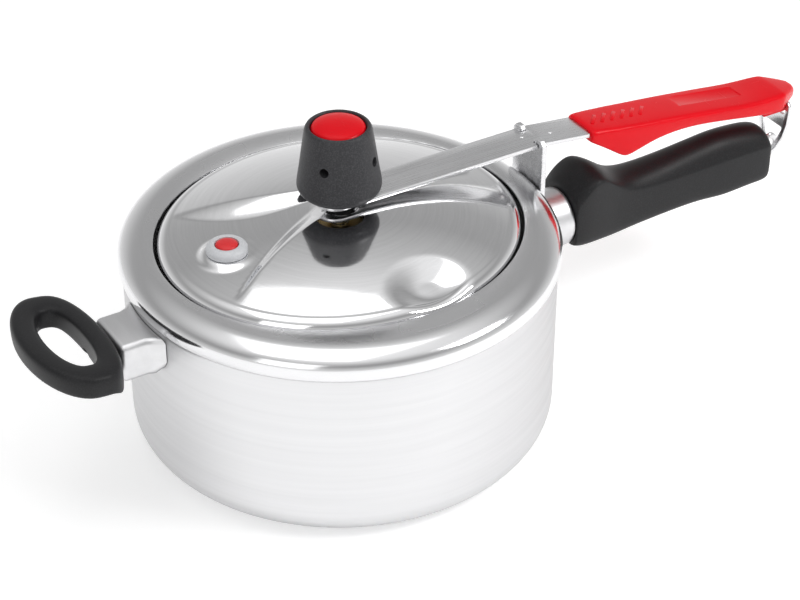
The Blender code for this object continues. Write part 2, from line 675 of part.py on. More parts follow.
def long_handle():
    """Moulded handle: a hump behind the ferrule, a thumb dip, a long grip and a blunt end."""
    stations = [
        (HANDLE_START_X, 96.0, 59.5, 17.0),
        (143.0, 100.5, 59.0, 17.2),
        (148.0, 105.0, 59.0, 17.0),
        (153.0, 106.6, 59.2, 16.4),
        (158.5, 103.8, 59.4, 15.6),
        (165.0, 97.6, 59.6, 14.6),
        (172.0, 93.2, 59.9, 13.9),
        (182.0, 91.8, 60.3, 13.4),
        (200.0, 92.8, 61.0, 13.2),
        (225.0, 95.4, 61.6, 13.3),
        (248.0, 96.8, 61.0, 13.6),
        (263.0, 95.6, 60.3, 13.6),
        (271.0, 93.2, 60.6, 13.3),
        (275.6, 90.0, 62.0, 12.2),
        (HANDLE_END_X, 87.0, 64.5, 10.4),
    ]
    handle = loft("long_handle", [handle_section(*station) for station in stations], "black_phenolic")
    bore(handle, "rod_bore", ((HANDLE_START_X + HANDLE_END_X) / 2, 0, HANDLE_Z), ROD_RADIUS + GAP, 180.0, "X")


def tie_rod():
    """Rod through the handle into the stud, ending in the oval eye that carries the latch ring."""
    start = BRACKET_X + 3.2
    end = EYE_X - EYE_HALF_X + 0.63
    rod = cylinder("tie_rod", ((start + end) / 2, 0, HANDLE_Z), ROD_RADIUS, end - start, "bright_steel", "X")
    curve = bpy.data.curves.new("eye", "CURVE")
    curve.dimensions = "3D"
    curve.bevel_depth = EYE_WIRE * MM
    curve.bevel_resolution = 2
    spline = curve.splines.new("POLY")
    outline = arc((EYE_X, HANDLE_Z), (EYE_HALF_X, EYE_HALF_Z), 6.0, 366.0, 18)[:-1]
    spline.points.add(len(outline) - 1)
    for point, (x, z) in zip(spline.points, outline):
        point.co = (x * MM, 0.0, z * MM, 1.0)
    spline.use_cyclic_u = True
    eye = curve_to_mesh("eye", curve, None, Matrix.Identity(4))
    boolean(rod, eye, "UNION")
    washer("rod_washer", (HANDLE_END_X + 0.75, 0, HANDLE_Z), 5.6, ROD_RADIUS + GAP, 0.9, "bright_steel", "X")


def latch_ring():
    """Stamped shield-shaped ring with a top hook window and a lower window round the eye."""
    run = Vector(LATCH_TOP) - Vector(LATCH_HINGE)
    lean = math.atan2(run.x, run.y)
    top = run.length + 1.2
    right = [(0.0, -1.6), (3.4, -1.4), (6.2, 2.4), (10.2, 11.0), (12.1, 20.0), (12.0, 28.0), (11.4, top - 1.8)]
    right += [(9.6, top)]
    outline = right + [(-u, v) for u, v in reversed(right[1:])]
    arm = 8.8
    hook = rounded([(-arm, top - 2.4), (-arm, 25.4), (arm, 25.4), (arm, top - 2.4)], 1.2, 2)
    lower = rounded([(-2.4, 1.6), (2.4, 1.6), (6.6, 10.0), (arm, 17.0), (-arm, 17.0), (-6.6, 10.0)], 1.2, 2)
    place = standing_plane(LATCH_HINGE[0], LATCH_HINGE[1], lean)
    flat_plate("latch_ring", [outline, hook, lower], LATCH_THICKNESS, "bright_steel", place)


# Helper handle --------------------------------------------------------------------------------


def helper_bracket():
    """Aluminium bracket: a hollow block, open below, that flares onto the pot wall."""
    half = HELPER_BRACKET_HALF
    end = HELPER_BRACKET_END_X
    low, high = HELPER_BRACKET_Z
    outline = [(end, -half), (-117.5, -half), (-107.0, -24.5), (-100.0, -24.5), (-100.0, 24.5)]
    outline += [(-107.0, 24.5), (-117.5, half), (end, half)]
    place = Matrix.Translation((0, 0, (low + high) / 2 * MM))
    bracket = flat_plate("helper_bracket", [outline], high - low, "spun_aluminium", place)
    soften(bracket, 3.0)
    boolean(bracket, wall_cutter("bracket_seat", 60.0, 112.0))
    wall = 2.4
    boolean(bracket, block("bracket_hollow", (end + 2.6, wall - half, low - 5), (-117.0, half - wall, high - wall)))
    bore(bracket, "bracket_screw_hole", (end, 0, HELPER_AXIS_Z), 2.8, 9.0, "X", 14)
    for side in (-1, 1):
        centre = (-113.0, side * RIVET_Y, HELPER_AXIS_Z)
        bore(bracket, f"bracket_rivet_hole_{side}", centre, 2.8, 9.6, "X", 12)


def helper_rivets():
    """Rivets through the wall and the bracket's web, flat heads inside the pot."""
    for name, side in (("helper_rivet_left", -1), ("helper_rivet_right", 1)):
        origin = (0.0, side * RIVET_Y, HELPER_AXIS_Z)
        profile = [(0.0, -107.2), (3.6, -107.2), (4.8, -108.4), (4.8, -109.3), (2.5, -109.3), (2.5, -117.3)]
        profile += [(3.8, -117.3), (3.6, -118.6), (0.0, -119.0)]
        turned(name, profile, "spun_aluminium", "X", origin, 16)


def helper_handle():
    """Flat oval loop with a finger hole and a recessed fixing screw."""
    centre = (HELPER_CENTRE_X, 0.0)
    outer = ellipse(centre, HELPER_HALF, 36)
    hole = ellipse((HELPER_CENTRE_X + 0.6, 0.0), HELPER_HOLE_HALF, 28)
    low, high = HELPER_Z
    place = Matrix.Translation((0, 0, (low + high) / 2 * MM))
    loop = flat_plate("helper_handle", [outer, hole], high - low, "black_phenolic", place)
    soften(loop, 3.2)
    seat = (HELPER_BRACKET_END_X - GAP, -30, 60)
    boolean(loop, block("loop_seat", seat, (-120, 30, 120)))
    bore(loop, "loop_screw_hole", (-138.0, 0, HELPER_AXIS_Z), 2.8, 20.0, "X", 16)
    bore(loop, "loop_recess", (-143.4, 0, HELPER_AXIS_Z), 5.0, 10.0, "X", 20)


def helper_screw():
    """Screw from the finger hole into the nut inside the bracket."""
    origin = (0.0, 0.0, HELPER_AXIS_Z)
    profile = [(0.0, -125.0), (2.5, -125.0), (2.5, -138.7), (4.6, -138.7), (4.6, -140.4), (3.2, -141.8), (0.0, -141.8)]
    turned("helper_screw", profile, "bright_steel", "X", origin, 20)
    centre = (HELPER_BRACKET_END_X + 2.6 + GAP + 1.6, 0, HELPER_AXIS_Z)
    hex_nut("helper_nut", centre, 5.2, 3.2, 2.8, "bright_steel", "X")


def main():
    pot_body()
    fulcrum_bracket()
    handle_stud()
    handle_ferrule()
    long_handle()
    tie_rod()
    latch_ring()
    helper_bracket()
    helper_rivets()
    helper_handle()
    helper_screw()
    lid()
    lid_gasket()
    vent_tube()
    lever_fixings()
    safety_valve()
    weight()
    lever_strap()
    lever_grip()


main()
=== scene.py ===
import json
import math

import bmesh
import bpy
from bpy.props import FloatProperty, FloatVectorProperty, IntProperty, PointerProperty
from mathutils import Matrix, Vector


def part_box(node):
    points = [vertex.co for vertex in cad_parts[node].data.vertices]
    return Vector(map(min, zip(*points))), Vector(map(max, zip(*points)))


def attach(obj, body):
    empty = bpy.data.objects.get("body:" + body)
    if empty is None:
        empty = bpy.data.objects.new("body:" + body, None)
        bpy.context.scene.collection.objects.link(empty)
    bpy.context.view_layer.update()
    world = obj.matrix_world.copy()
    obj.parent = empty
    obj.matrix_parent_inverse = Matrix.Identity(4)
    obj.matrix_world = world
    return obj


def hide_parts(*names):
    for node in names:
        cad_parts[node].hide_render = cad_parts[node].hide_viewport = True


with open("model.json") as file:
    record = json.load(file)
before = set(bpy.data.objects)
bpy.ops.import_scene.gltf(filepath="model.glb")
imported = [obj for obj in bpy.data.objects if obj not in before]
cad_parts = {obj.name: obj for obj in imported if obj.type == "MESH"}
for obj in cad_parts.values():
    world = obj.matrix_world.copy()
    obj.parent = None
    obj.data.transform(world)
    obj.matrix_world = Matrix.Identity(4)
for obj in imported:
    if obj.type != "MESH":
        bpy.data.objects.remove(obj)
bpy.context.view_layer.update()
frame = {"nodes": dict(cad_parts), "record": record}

bl_info = {
    "name": "Stovetop pressure cooker",
    "version": (1, 0, 0),
    "blender": (4, 5, 0),
    "location": "3D View > Sidebar > Cooker",
    "description": "Builds the visual model of a stovetop pressure cooker over its packed frame",
    "category": "Add Mesh",
}

MM = 0.001
MATERIALS = {}

# Places that come from the frame, in metres
STRAP_LOW, STRAP_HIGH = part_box("lever_strap")
FERRULE_LOW, FERRULE_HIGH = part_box("handle_ferrule")
VALVE_LOW, VALVE_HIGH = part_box("valve_ring")
CAP_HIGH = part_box("weight_cap")[1]
POT_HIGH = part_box("pot_body")[1]
HELPER_LOW, HELPER_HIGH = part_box("helper_handle")
BLOCK_LOW, BLOCK_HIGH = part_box("helper_bracket")

VALVE_X = (VALVE_LOW.x + VALVE_HIGH.x) / 2 / MM
HANDLE_Z = (FERRULE_LOW.z + FERRULE_HIGH.z) / 2 / MM

# Places that the pieces share, in millimetres
VALVE_PAD_Z = 122.4
VALVE_BASE_Z = 122.7
STRAP_UNDERSIDE_Z = 131.8
GRIP_SCREWS_X = (185.0, 208.0)


# Sizes and colours -----------------------------------------------------------------------------


def length(name, description, millimetres):
    """A length property whose default is given in millimetres."""
    default = millimetres * MM
    return FloatProperty(name=name, description=description, default=default, unit="LENGTH", precision=4)


def colour(name, description, default):
    return FloatVectorProperty(
        name=name, description=description, default=default, size=3, subtype="COLOR", min=0.0, max=1.0
    )


class PotSizes(bpy.types.PropertyGroup):
    """Sizes of the pot"""

    wall_radius: length("Wall radius", "Outside radius of the straight wall", 112.9)
    shoulder_radius: length("Shoulder radius", "Widest radius of the rolled shoulder", POT_HIGH.x / MM)
    height: length("Height", "Height of the flat rim above the base", POT_HIGH.z / MM)
    mouth_x: length("Mouth half length", "Half the mouth's length along the lever", 97.5)
    mouth_y: length("Mouth half width", "Half the mouth's width across the lever", 88.9)
    base_fillet: length("Base fillet", "Radius of the rounded bottom corner", 17.0)
    steps: IntProperty(
        name="Steps", description="Divisions of the pot's full turn", default=256, min=24, max=512
    )


class LidSizes(bpy.types.PropertyGroup):
    """Sizes of the lid"""

    wall_x: length("Wall half length", "Half length of the upright wall inside the mouth", 96.2)
    flange_x: length("Flange half length", "Half length of the seating flange", 102.6)
    dome_edge: length("Dome edge height", "Height of the dome where it meets the bead", 118.1)
    dome_rise: length("Dome rise", "Rise of the plateaus above the dome's edge", 11.5)
    pad_height: length("Pad height", "Height of the pressed keyhole at the vent tube", 126.2)
    dimple_depth: length("Dimple depth", "Depth of the oval scoop at the front edge", 4.2)
    steps: IntProperty(
        name="Steps", description="Divisions of the lid's full turn", default=300, min=48, max=512
    )


class LeverSizes(bpy.types.PropertyGroup):
    """Sizes of the lever"""

    strap_half_width: length("Strap half width", "Half the strap's width over the lid", STRAP_HIGH.y / MM)
    strap_thickness: length("Strap thickness", "Thickness of the steel strap", 2.4)
    bend_x: length("Bend", "Distance of the strap's bend from the pot's axis", 120.0)
    slope: FloatProperty(name="Slope", description="Fall of the strap beyond its bend", default=0.118)
    rib_height: length("Rib height", "Height of the grip's slanted ribs", 0.4)
    panel_depth: length("Panel depth", "Depth of the grip's plain recessed panel", 0.35)


class FinishColours(bpy.types.PropertyGroup):
    """Colours of the finishes"""

    lid_metal: colour("Lid metal", "Polished aluminium", (0.86, 0.86, 0.87))
    pot_metal: colour("Pot metal", "Spun aluminium", (0.80, 0.80, 0.81))
    steel: colour("Steel", "Brushed steel", (0.76, 0.76, 0.77))
    phenolic: colour("Phenolic", "Moulded black phenolic", (0.013, 0.013, 0.014))
    red: colour("Red plastic", "Glossy red plastic", (0.74, 0.001, 0.008))
    rubber: colour("Rubber", "Black rubber", (0.02, 0.02, 0.02))
    pale: colour("Pale plastic", "Valve ring plastic", (0.56, 0.57, 0.59))
    silicone: colour("Silicone", "Red valve plug", (0.66, 0.014, 0.018))
    brass: colour("Brass", "Turned brass core", (0.72, 0.53, 0.24))
    floor: colour("Floor", "Plain pale floor", (0.94, 0.94, 0.94))


class CookerSettings(bpy.types.PropertyGroup):
    """Everything a user would change"""

    pot: PointerProperty(type=PotSizes)
    lid: PointerProperty(type=LidSizes)
    lever: PointerProperty(type=LeverSizes)
    colours: PointerProperty(type=FinishColours)


def settings():
    return bpy.context.scene.pressure_cooker


# Mesh helpers: every point is in millimetres, and the meshes are in metres ---------------------


def arc(centre, radii, start_deg, end_deg, steps):
    """Points of an elliptical arc in a plane, both ends included."""
    points = []
    for i in range(steps + 1):
        angle = math.radians(start_deg + (end_deg - start_deg) * i / steps)
        points.append((centre[0] + radii[0] * math.cos(angle), centre[1] + radii[1] * math.sin(angle)))
    return points


def smooth_step(low, high, value):
    t = min(max((value - low) / (high - low), 0.0), 1.0)
    return t * t * (3.0 - 2.0 * t)


def polyline(bm, points, closed=False):
    """A few vertices joined by edges."""
    verts = [bm.verts.new(Vector(point) * MM) for point in points]
    edges = [bm.edges.new(pair) for pair in zip(verts, verts[1:])]
    if closed:
        edges.append(bm.edges.new((verts[-1], verts[0])))
    return verts, edges


def spin_profile(bm, profile, steps, axis="Z"):
    """Sweeps a profile of (radius, distance along the axis) points through a full turn."""
    if axis == "Z":
        points = [(radius, 0.0, along) for radius, along in profile]
        direction = (0.0, 0.0, 1.0)
    else:
        points = [(along, 0.0, radius) for radius, along in profile]
        direction = (1.0, 0.0, 0.0)
    verts, edges = polyline(bm, points)
    bmesh.ops.spin(
        bm, geom=verts + edges, cent=(0, 0, 0), axis=direction, angle=2 * math.pi, steps=steps, use_merge=True
    )
    bmesh.ops.remove_doubles(bm, verts=bm.verts, dist=0.000002)


def move(bm, offset):
    bmesh.ops.translate(bm, vec=Vector(offset) * MM, verts=bm.verts)


def turn_about(bm, angle, axis):
    bmesh.ops.rotate(bm, cent=(0, 0, 0), matrix=Matrix.Rotation(angle, 3, axis), verts=bm.verts)


def outward(bm):
    bmesh.ops.recalc_face_normals(bm, faces=bm.faces)


def loft(bm, rings):
    """A closed skin bridged through equal rings of points, with flat ends."""
    loops = [polyline(bm, ring, closed=True)[1] for ring in rings]
    for first, second in zip(loops, loops[1:]):
        bmesh.ops.bridge_loops(bm, edges=first + second)
    bmesh.ops.holes_fill(bm, edges=loops[0] + loops[-1], sides=0)
    outward(bm)


def flat_plate(bm, outlines, thickness):
    """A flat plate in the XY plane: the first outline is its edge and the others are holes."""
    edges = []
    for outline in outlines:
        edges += polyline(bm, [(x, y, 0.0) for x, y in outline], closed=True)[1]
    bmesh.ops.triangle_fill(bm, edges=edges, use_beauty=True, use_dissolve=False)
    outward(bm)
    made = bmesh.ops.extrude_face_region(bm, geom=bm.faces[:])
    top = [item for item in made["geom"] if isinstance(item, bmesh.types.BMVert)]
    bmesh.ops.translate(bm, vec=(0.0, 0.0, thickness * MM), verts=top)
    outward(bm)


def rounded_box(low, high, radius, segments):
    """A box between two corners with all its edges rounded."""
    low, high = Vector(low) * MM, Vector(high) * MM
    matrix = Matrix.Translation((low + high) / 2) @ Matrix.Diagonal((*(high - low), 1.0))
    bm = bmesh.new()
    bmesh.ops.create_cube(bm, size=1.0, matrix=matrix)
    round_edges(bm, bm.edges[:], radius, segments)
    return bm


def round_bar(radius, depth, centre, axis="X", segments=48):
    """A round bar that lies along an axis."""
    matrix = Matrix.Translation(Vector(centre) * MM)
    if axis == "X":
        matrix = matrix @ Matrix.Rotation(math.pi / 2, 4, "Y")
    bm = bmesh.new()
    bmesh.ops.create_cone(
        bm,
        cap_ends=True,
        segments=segments,
        radius1=radius * MM,
        radius2=radius * MM,
        depth=depth * MM,
        matrix=matrix,
    )
    return bm


def round_edges(bm, edges, radius, segments):
    bmesh.ops.bevel(
        bm,
        geom=edges,
        offset=radius * MM,
        offset_type="OFFSET",
        segments=segments,
        profile=0.5,
        affect="EDGES",
        material=-1,
        clamp_overlap=True,
    )


def sharp_edges(bm, angle_deg):
    limit = math.radians(angle_deg)
    return [edge for edge in bm.edges if len(edge.link_faces) == 2 and edge.calc_face_angle() > limit]


def mesh_object(name, bm, sharp_deg=35.0):
    bmesh.ops.remove_doubles(bm, verts=bm.verts, dist=0.000001)
    mesh = bpy.data.meshes.new(name)
    bm.to_mesh(mesh)
    bm.free()
    mesh.shade_smooth()
    mesh.set_sharp_from_angle(angle=math.radians(sharp_deg))
    obj = bpy.data.objects.new(name, mesh)
    bpy.context.scene.collection.objects.link(obj)
    return obj


def turned(name, profile, steps, sharp_deg, axis="Z", offset=(0.0, 0.0, 0.0)):
    """A piece turned from one profile and moved to its place."""
    bm = bmesh.new()
    spin_profile(bm, profile, steps, axis)
    move(bm, offset)
    outward(bm)
    return mesh_object(name, bm, sharp_deg)


def subdivided(obj, levels):
    surface = obj.modifiers.new("surface", "SUBSURF")
    surface.levels = levels
    surface.render_levels = levels


def cutter(bm):
    return mesh_object("cutter", bm)


def carve(obj, cuts, sharp_deg):
    """Applies the object's modifiers and (operation, tool) booleans to its mesh, and removes the tools."""
    for operation, tool in cuts:
        modifier = obj.modifiers.new("carve", "BOOLEAN")
        modifier.operation = operation
        modifier.solver = "EXACT"
        modifier.object = tool
    bpy.context.view_layer.update()
    evaluated = obj.evaluated_get(bpy.context.evaluated_depsgraph_get())
    mesh = bpy.data.meshes.new_from_object(evaluated)
    obj.modifiers.clear()
    obj.data = mesh
    mesh.name = obj.name
    mesh.shade_smooth()
    mesh.set_sharp_from_angle(angle=math.radians(sharp_deg))
    for _, tool in cuts:
        bpy.data.objects.remove(tool, do_unlink=True)


def place(obj, body, slot, *nodes):
    """Gives a finished piece its material, its body and the frame nodes that it stands for."""
    obj.data.materials.clear()
    obj.data.materials.append(MATERIALS[slot])
    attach(obj, body)
    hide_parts(*nodes)


def from_frame(name, source, radius):
    """A frame node's own shape with its sharp edges broken."""
    bm = bmesh.new()
    bm.from_mesh(frame["nodes"][source].data)
    bmesh.ops.remove_doubles(bm, verts=bm.verts, dist=0.00001)
    bmesh.ops.dissolve_limit(bm, angle_limit=math.radians(1.0), verts=bm.verts, edges=bm.edges)
    round_edges(bm, sharp_edges(bm, 32.0), radius, 3)
    return mesh_object(name, bm, 40.0)


# Shader helpers --------------------------------------------------------------------------------


def node(tree, kind, inputs=(), **attributes):
    """Adds a node; an input that is a socket is linked, and any other is a plain value."""
    made = tree.nodes.new(kind)
    for key, value in attributes.items():
        setattr(made, key, value)
    for key, value in dict(inputs).items():
        if isinstance(value, bpy.types.NodeSocket):
            tree.links.new(value, made.inputs[key])
        else:
            made.inputs[key].default_value = value
    return made


def maths(tree, operation, first, second):
    return node(tree, "ShaderNodeMath", {0: first, 1: second}, operation=operation).outputs[0]


def weighted(tree, start, *terms):
    """A start value plus each mask times its own amount."""
    total = start
    for mask, amount in terms:
        total = maths(tree, "ADD", maths(tree, "MULTIPLY", mask, amount), total)
    return total


def remap(tree, value, low, high, to_low, to_high):
    inputs = {"Value": value, "From Min": low, "From Max": high, "To Min": to_low, "To Max": to_high}
    return node(tree, "ShaderNodeMapRange", inputs).outputs["Result"]


def noise(tree, vector, scale, detail=2.0, roughness=0.5):
    inputs = {"Vector": vector, "Scale": scale, "Detail": detail, "Roughness": roughness}
    return node(tree, "ShaderNodeTexNoise", inputs).outputs["Fac"]


def stretched(tree, vector, scale, turn=(0.0, 0.0, 0.0)):
    inputs = {"Vector": vector, "Scale": scale, "Rotation": turn}
    return node(tree, "ShaderNodeMapping", inputs).outputs["Vector"]


def object_coordinates(tree):
    return node(tree, "ShaderNodeTexCoord").outputs["Object"]


def new_group(name, inputs, outputs):
    """A shader node group with float inputs (name, default) and float outputs."""
    tree = bpy.data.node_groups.new(name, "ShaderNodeTree")
    for label, default in inputs:
        socket = tree.interface.new_socket(label, in_out="INPUT", socket_type="NodeSocketFloat")
        socket.default_value = default
    for label in outputs:
        tree.interface.new_socket(label, in_out="OUTPUT", socket_type="NodeSocketFloat")
    return tree, tree.nodes.new("NodeGroupInput"), tree.nodes.new("NodeGroupOutput")


def turning_marks_group():
    """Fine lines left by turning and polishing round the upright axis, fading in and out."""
    tree, given, made = new_group("turning_marks", [("Pitch", 900.0), ("Fade", 25.0)], ["Lines", "Radius"])
    place_in = node(tree, "ShaderNodeSeparateXYZ", {0: object_coordinates(tree)})
    flat = node(tree, "ShaderNodeCombineXYZ", {0: place_in.outputs[0], 1: place_in.outputs[1]})
    radius = node(tree, "ShaderNodeVectorMath", {0: flat.outputs[0]}, operation="LENGTH").outputs["Value"]
    along = weighted(tree, place_in.outputs[0], (place_in.outputs[1], 0.6))
    lines = node(
        tree,
        "ShaderNodeCombineXYZ",
        {
            0: maths(tree, "MULTIPLY", radius, given.outputs["Pitch"]),
            1: maths(tree, "MULTIPLY", place_in.outputs[2], given.outputs["Pitch"]),
            2: maths(tree, "MULTIPLY", along, given.outputs["Fade"]),
        },
    )
    tree.links.new(noise(tree, lines.outputs[0], 1.0, 4.0, 0.6), made.inputs["Lines"])
    tree.links.new(radius, made.inputs["Radius"])
    return tree


def handling_marks_group():
    """Soft smudges and sparse hairline scratches of a handled surface."""
    tree, given, made = new_group("handling_marks", [("Smudge Scale", 22.0)], ["Smudge", "Scratch"])
    at = object_coordinates(tree)
    smudge = noise(tree, at, given.outputs["Smudge Scale"], 4.0, 0.55)
    tree.links.new(remap(tree, smudge, 0.35, 0.7, 0.0, 1.0), made.inputs["Smudge"])
    first = noise(tree, stretched(tree, at, (30.0, 1400.0, 1400.0), (0.0, 0.0, 0.7)), 1.0, 2.0)
    second = noise(tree, stretched(tree, at, (1300.0, 26.0, 1300.0), (0.0, 0.0, 0.35)), 1.0, 2.0)
    first = remap(tree, first, 0.68, 0.76, 0.0, 1.0)
    second = remap(tree, second, 0.69, 0.77, 0.0, 1.0)
    tree.links.new(maths(tree, "MAXIMUM", first, second), made.inputs["Scratch"])
    return tree


def moulded_grain_group():
    """The fine even grain of a moulded surface."""
    tree, given, made = new_group("moulded_grain", [("Grain Scale", 1500.0)], ["Height", "Speckle"])
    at = object_coordinates(tree)
    grain = noise(tree, at, given.outputs["Grain Scale"], 3.0, 0.6)
    tree.links.new(grain, made.inputs["Height"])
    tree.links.new(remap(tree, grain, 0.45, 0.72, 0.0, 1.0), made.inputs["Speckle"])
    return tree


def shader_groups():
    return {
        "turning": turning_marks_group(),
        "handling": handling_marks_group(),
        "grain": moulded_grain_group(),
    }


def new_material(name, base, roughness, metallic=0.0, **plain):
    """A material with its Principled shader's plain values set on its own sockets."""
    material = bpy.data.materials.new(name)
    material.use_nodes = True
    material.node_tree.nodes.clear()
    tree = material.node_tree
    shader = node(tree, "ShaderNodeBsdfPrincipled", {"Roughness": roughness, "Metallic": metallic})
    shader.inputs["Base Color"].default_value = (*base, 1.0)
    for key, value in plain.items():
        shader.inputs[key.replace("_", " ")].default_value = value
    surface = node(tree, "ShaderNodeOutputMaterial")
    tree.links.new(shader.outputs[0], surface.inputs["Surface"])
    MATERIALS[name] = material
    return tree, shader


def use_group(tree, group, **values):
    made = node(tree, "ShaderNodeGroup", node_tree=group)
    for key, value in values.items():
        made.inputs[key.replace("_", " ")].default_value = value
    return made


def tinted(tree, shader, mask, first, second):
    """Base colour mixed between two colours by a mask."""
    mix = node(tree, "ShaderNodeMix", {0: mask}, data_type="RGBA")
    mix.inputs[6].default_value = (*first, 1.0)
    mix.inputs[7].default_value = (*second, 1.0)
    tree.links.new(mix.outputs[2], shader.inputs["Base Color"])


def bumped(tree, shader, height, distance, strength):
    bump = node(tree, "ShaderNodeBump", {"Height": height, "Distance": distance, "Strength": strength})
    tree.links.new(bump.outputs["Normal"], shader.inputs["Normal"])


def shade(base, factor):
    return tuple(min(channel * factor, 1.0) for channel in base)


def polished_aluminium(groups, base):
    tree, shader = new_material("polished_aluminium", base, 0.12, 1.0)
    lines = use_group(tree, groups["turning"], Pitch=700.0, Fade=18.0)
    marks = use_group(tree, groups["handling"], Smudge_Scale=24.0)
    tinted(tree, shader, remap(tree, lines.outputs["Lines"], 0.3, 0.7, 0.0, 1.0), shade(base, 0.94), base)
    rough = weighted(tree, 0.07, (marks.outputs["Smudge"], 0.04), (marks.outputs["Scratch"], 0.08))
    tree.links.new(rough, shader.inputs["Roughness"])
    height = weighted(tree, lines.outputs["Lines"], (marks.outputs["Scratch"], -0.3))
    bumped(tree, shader, height, 0.00002, 0.35)


def spun_aluminium(groups, base):
    """Satin wall with a painted shade towards its grazing edges over a streaky darker tone, bright rolled
    shoulder, and turned grooves on the flat rim, whose colour is a little darker.
    """
    sizes = settings().pot
    tree, shader = new_material("spun_aluminium", base, 0.3, 1.0)
    fine = use_group(tree, groups["turning"], Pitch=1600.0, Fade=14.0)
    broad = use_group(tree, groups["turning"], Pitch=240.0, Fade=9.0)
    marks = use_group(tree, groups["handling"], Smudge_Scale=14.0)
    place_in = node(tree, "ShaderNodeSeparateXYZ", {0: object_coordinates(tree)})
    top = sizes.height
    satin = remap(tree, place_in.outputs[2], top - 0.0150, top - 0.0135, 1.0, 0.0)
    above = remap(tree, place_in.outputs[2], top - 0.0012, top - 0.0004, 0.0, 1.0)
    inside = remap(tree, fine.outputs["Radius"], 0.1005, 0.1035, 1.0, 0.0)
    rim = maths(tree, "MULTIPLY", above, inside)
    grooves = node(
        tree,
        "ShaderNodeTexWave",
        {"Vector": object_coordinates(tree), "Scale": 330.0, "Distortion": 0.4, "Detail": 1.0},
        wave_type="RINGS",
        rings_direction="Z",
    ).outputs["Fac"]
    # Painted shade: the satin wall's colour darkens towards its edges as they turn away from the view, over a
    # streaky darker tone along its broad turning lines; the flat rim's colour is made a little darker too.
    facing = node(tree, "ShaderNodeLayerWeight", {"Blend": 0.5}).outputs["Facing"]
    edge = remap(tree, facing, 0.3, 0.95, 0.0, 0.5)
    banding = remap(tree, broad.outputs["Lines"], 0.3, 0.7, 0.12, 0.2)
    painted_shade_and_streaks = maths(tree, "MULTIPLY", satin, maths(tree, "ADD", edge, banding))
    painted_shade_and_rim_tone = maths(tree, "MAXIMUM", painted_shade_and_streaks, maths(tree, "MULTIPLY", rim, 0.25))
    tinted(tree, shader, painted_shade_and_rim_tone, base, shade(base, 0.5))
    streaks = maths(tree, "ADD", fine.outputs["Lines"], broad.outputs["Lines"])
    satin_rough = maths(tree, "MULTIPLY", satin, remap(tree, streaks, 0.6, 1.4, 0.16, 0.3))
    rough = weighted(tree, 0.13, (marks.outputs["Smudge"], 0.05), (satin_rough, 1.0), (rim, 0.12))
    tree.links.new(rough, shader.inputs["Roughness"])
    height = maths(tree, "MULTIPLY", streaks, weighted(tree, 0.12, (satin, 0.8)))
    height = weighted(tree, height, (maths(tree, "MULTIPLY", grooves, rim), 2.2))
    bumped(tree, shader, height, 0.00003, 0.5)


def bright_steel(groups, base):
    tree, shader = new_material("bright_steel", base, 0.25, 1.0)
    at = object_coordinates(tree)
    brush = noise(tree, stretched(tree, at, (14.0, 2600.0, 900.0)), 1.0, 4.0, 0.6)
    marks = use_group(tree, groups["handling"], Smudge_Scale=40.0)
    tinted(tree, shader, remap(tree, brush, 0.3, 0.7, 0.0, 1.0), shade(base, 0.93), shade(base, 1.02))
    rough = weighted(tree, remap(tree, brush, 0.3, 0.7, 0.22, 0.3), (marks.outputs["Smudge"], 0.04))
    tree.links.new(rough, shader.inputs["Roughness"])
    bumped(tree, shader, brush, 0.00001, 0.3)


def black_phenolic(groups, base):
    tree, shader = new_material("black_phenolic", base, 0.42, 0.0, Specular_IOR_Level=0.22)
    grain = use_group(tree, groups["grain"], Grain_Scale=1300.0)
    marks = use_group(tree, groups["handling"], Smudge_Scale=30.0)
    upright = node(tree, "ShaderNodeSeparateXYZ", {0: object_coordinates(tree)}).outputs[2]
    # Painted light: black phenolic above 134 mm, that is the weight's shell, is tinted greyer to stand in for
    # the light it catches, and its grain speckle is made stronger there.
    weight = remap(tree, upright, 0.134, 0.136, 0.0, 0.5)
    speckle = maths(tree, "MULTIPLY", grain.outputs["Speckle"], maths(tree, "ADD", weight, 0.2))
    tinted(tree, shader, maths(tree, "ADD", weight, speckle), base, shade(base, 4.5))
    rough = weighted(tree, 0.38, (marks.outputs["Smudge"], 0.06), (grain.outputs["Speckle"], 0.08))
    tree.links.new(rough, shader.inputs["Roughness"])
    bumped(tree, shader, grain.outputs["Height"], 0.00012, 0.35)


def red_plastic(groups, base):
    tree, shader = new_material("red_plastic", base, 0.25, 0.0, Specular_IOR_Level=0.16)
    grain = use_group(tree, groups["grain"], Grain_Scale=420.0)
    marks = use_group(tree, groups["handling"], Smudge_Scale=34.0)
    tinted(tree, shader, marks.outputs["Smudge"], base, shade(base, 0.93))
    rough = weighted(tree, 0.2, (marks.outputs["Smudge"], 0.07), (marks.outputs["Scratch"], 0.06))
    tree.links.new(rough, shader.inputs["Roughness"])
    bumped(tree, shader, grain.outputs["Height"], 0.00006, 0.15)


def soft_finish(groups, name, base, roughness, grain_scale):
    """Rubber, silicone and satin plastic: a fine grain over an even colour."""
    tree, shader = new_material(name, base, roughness)
    grain = use_group(tree, groups["grain"], Grain_Scale=grain_scale)
    marks = use_group(tree, groups["handling"], Smudge_Scale=60.0)
    tinted(tree, shader, grain.outputs["Speckle"], base, shade(base, 1.12))
    rough = weighted(tree, roughness, (marks.outputs["Smudge"], 0.08))
    tree.links.new(rough, shader.inputs["Roughness"])
    bumped(tree, shader, grain.outputs["Height"], 0.00005, 0.3)


def turned_brass(groups, base):
    tree, shader = new_material("brass", base, 0.3, 1.0)
    lines = use_group(tree, groups["turning"], Pitch=1500.0, Fade=60.0)
    tinted(tree, shader, lines.outputs["Lines"], shade(base, 0.8), base)
    tree.links.new(remap(tree, lines.outputs["Lines"], 0.3, 0.7, 0.22, 0.4), shader.inputs["Roughness"])
    bumped(tree, shader, lines.outputs["Lines"], 0.00003, 0.4)


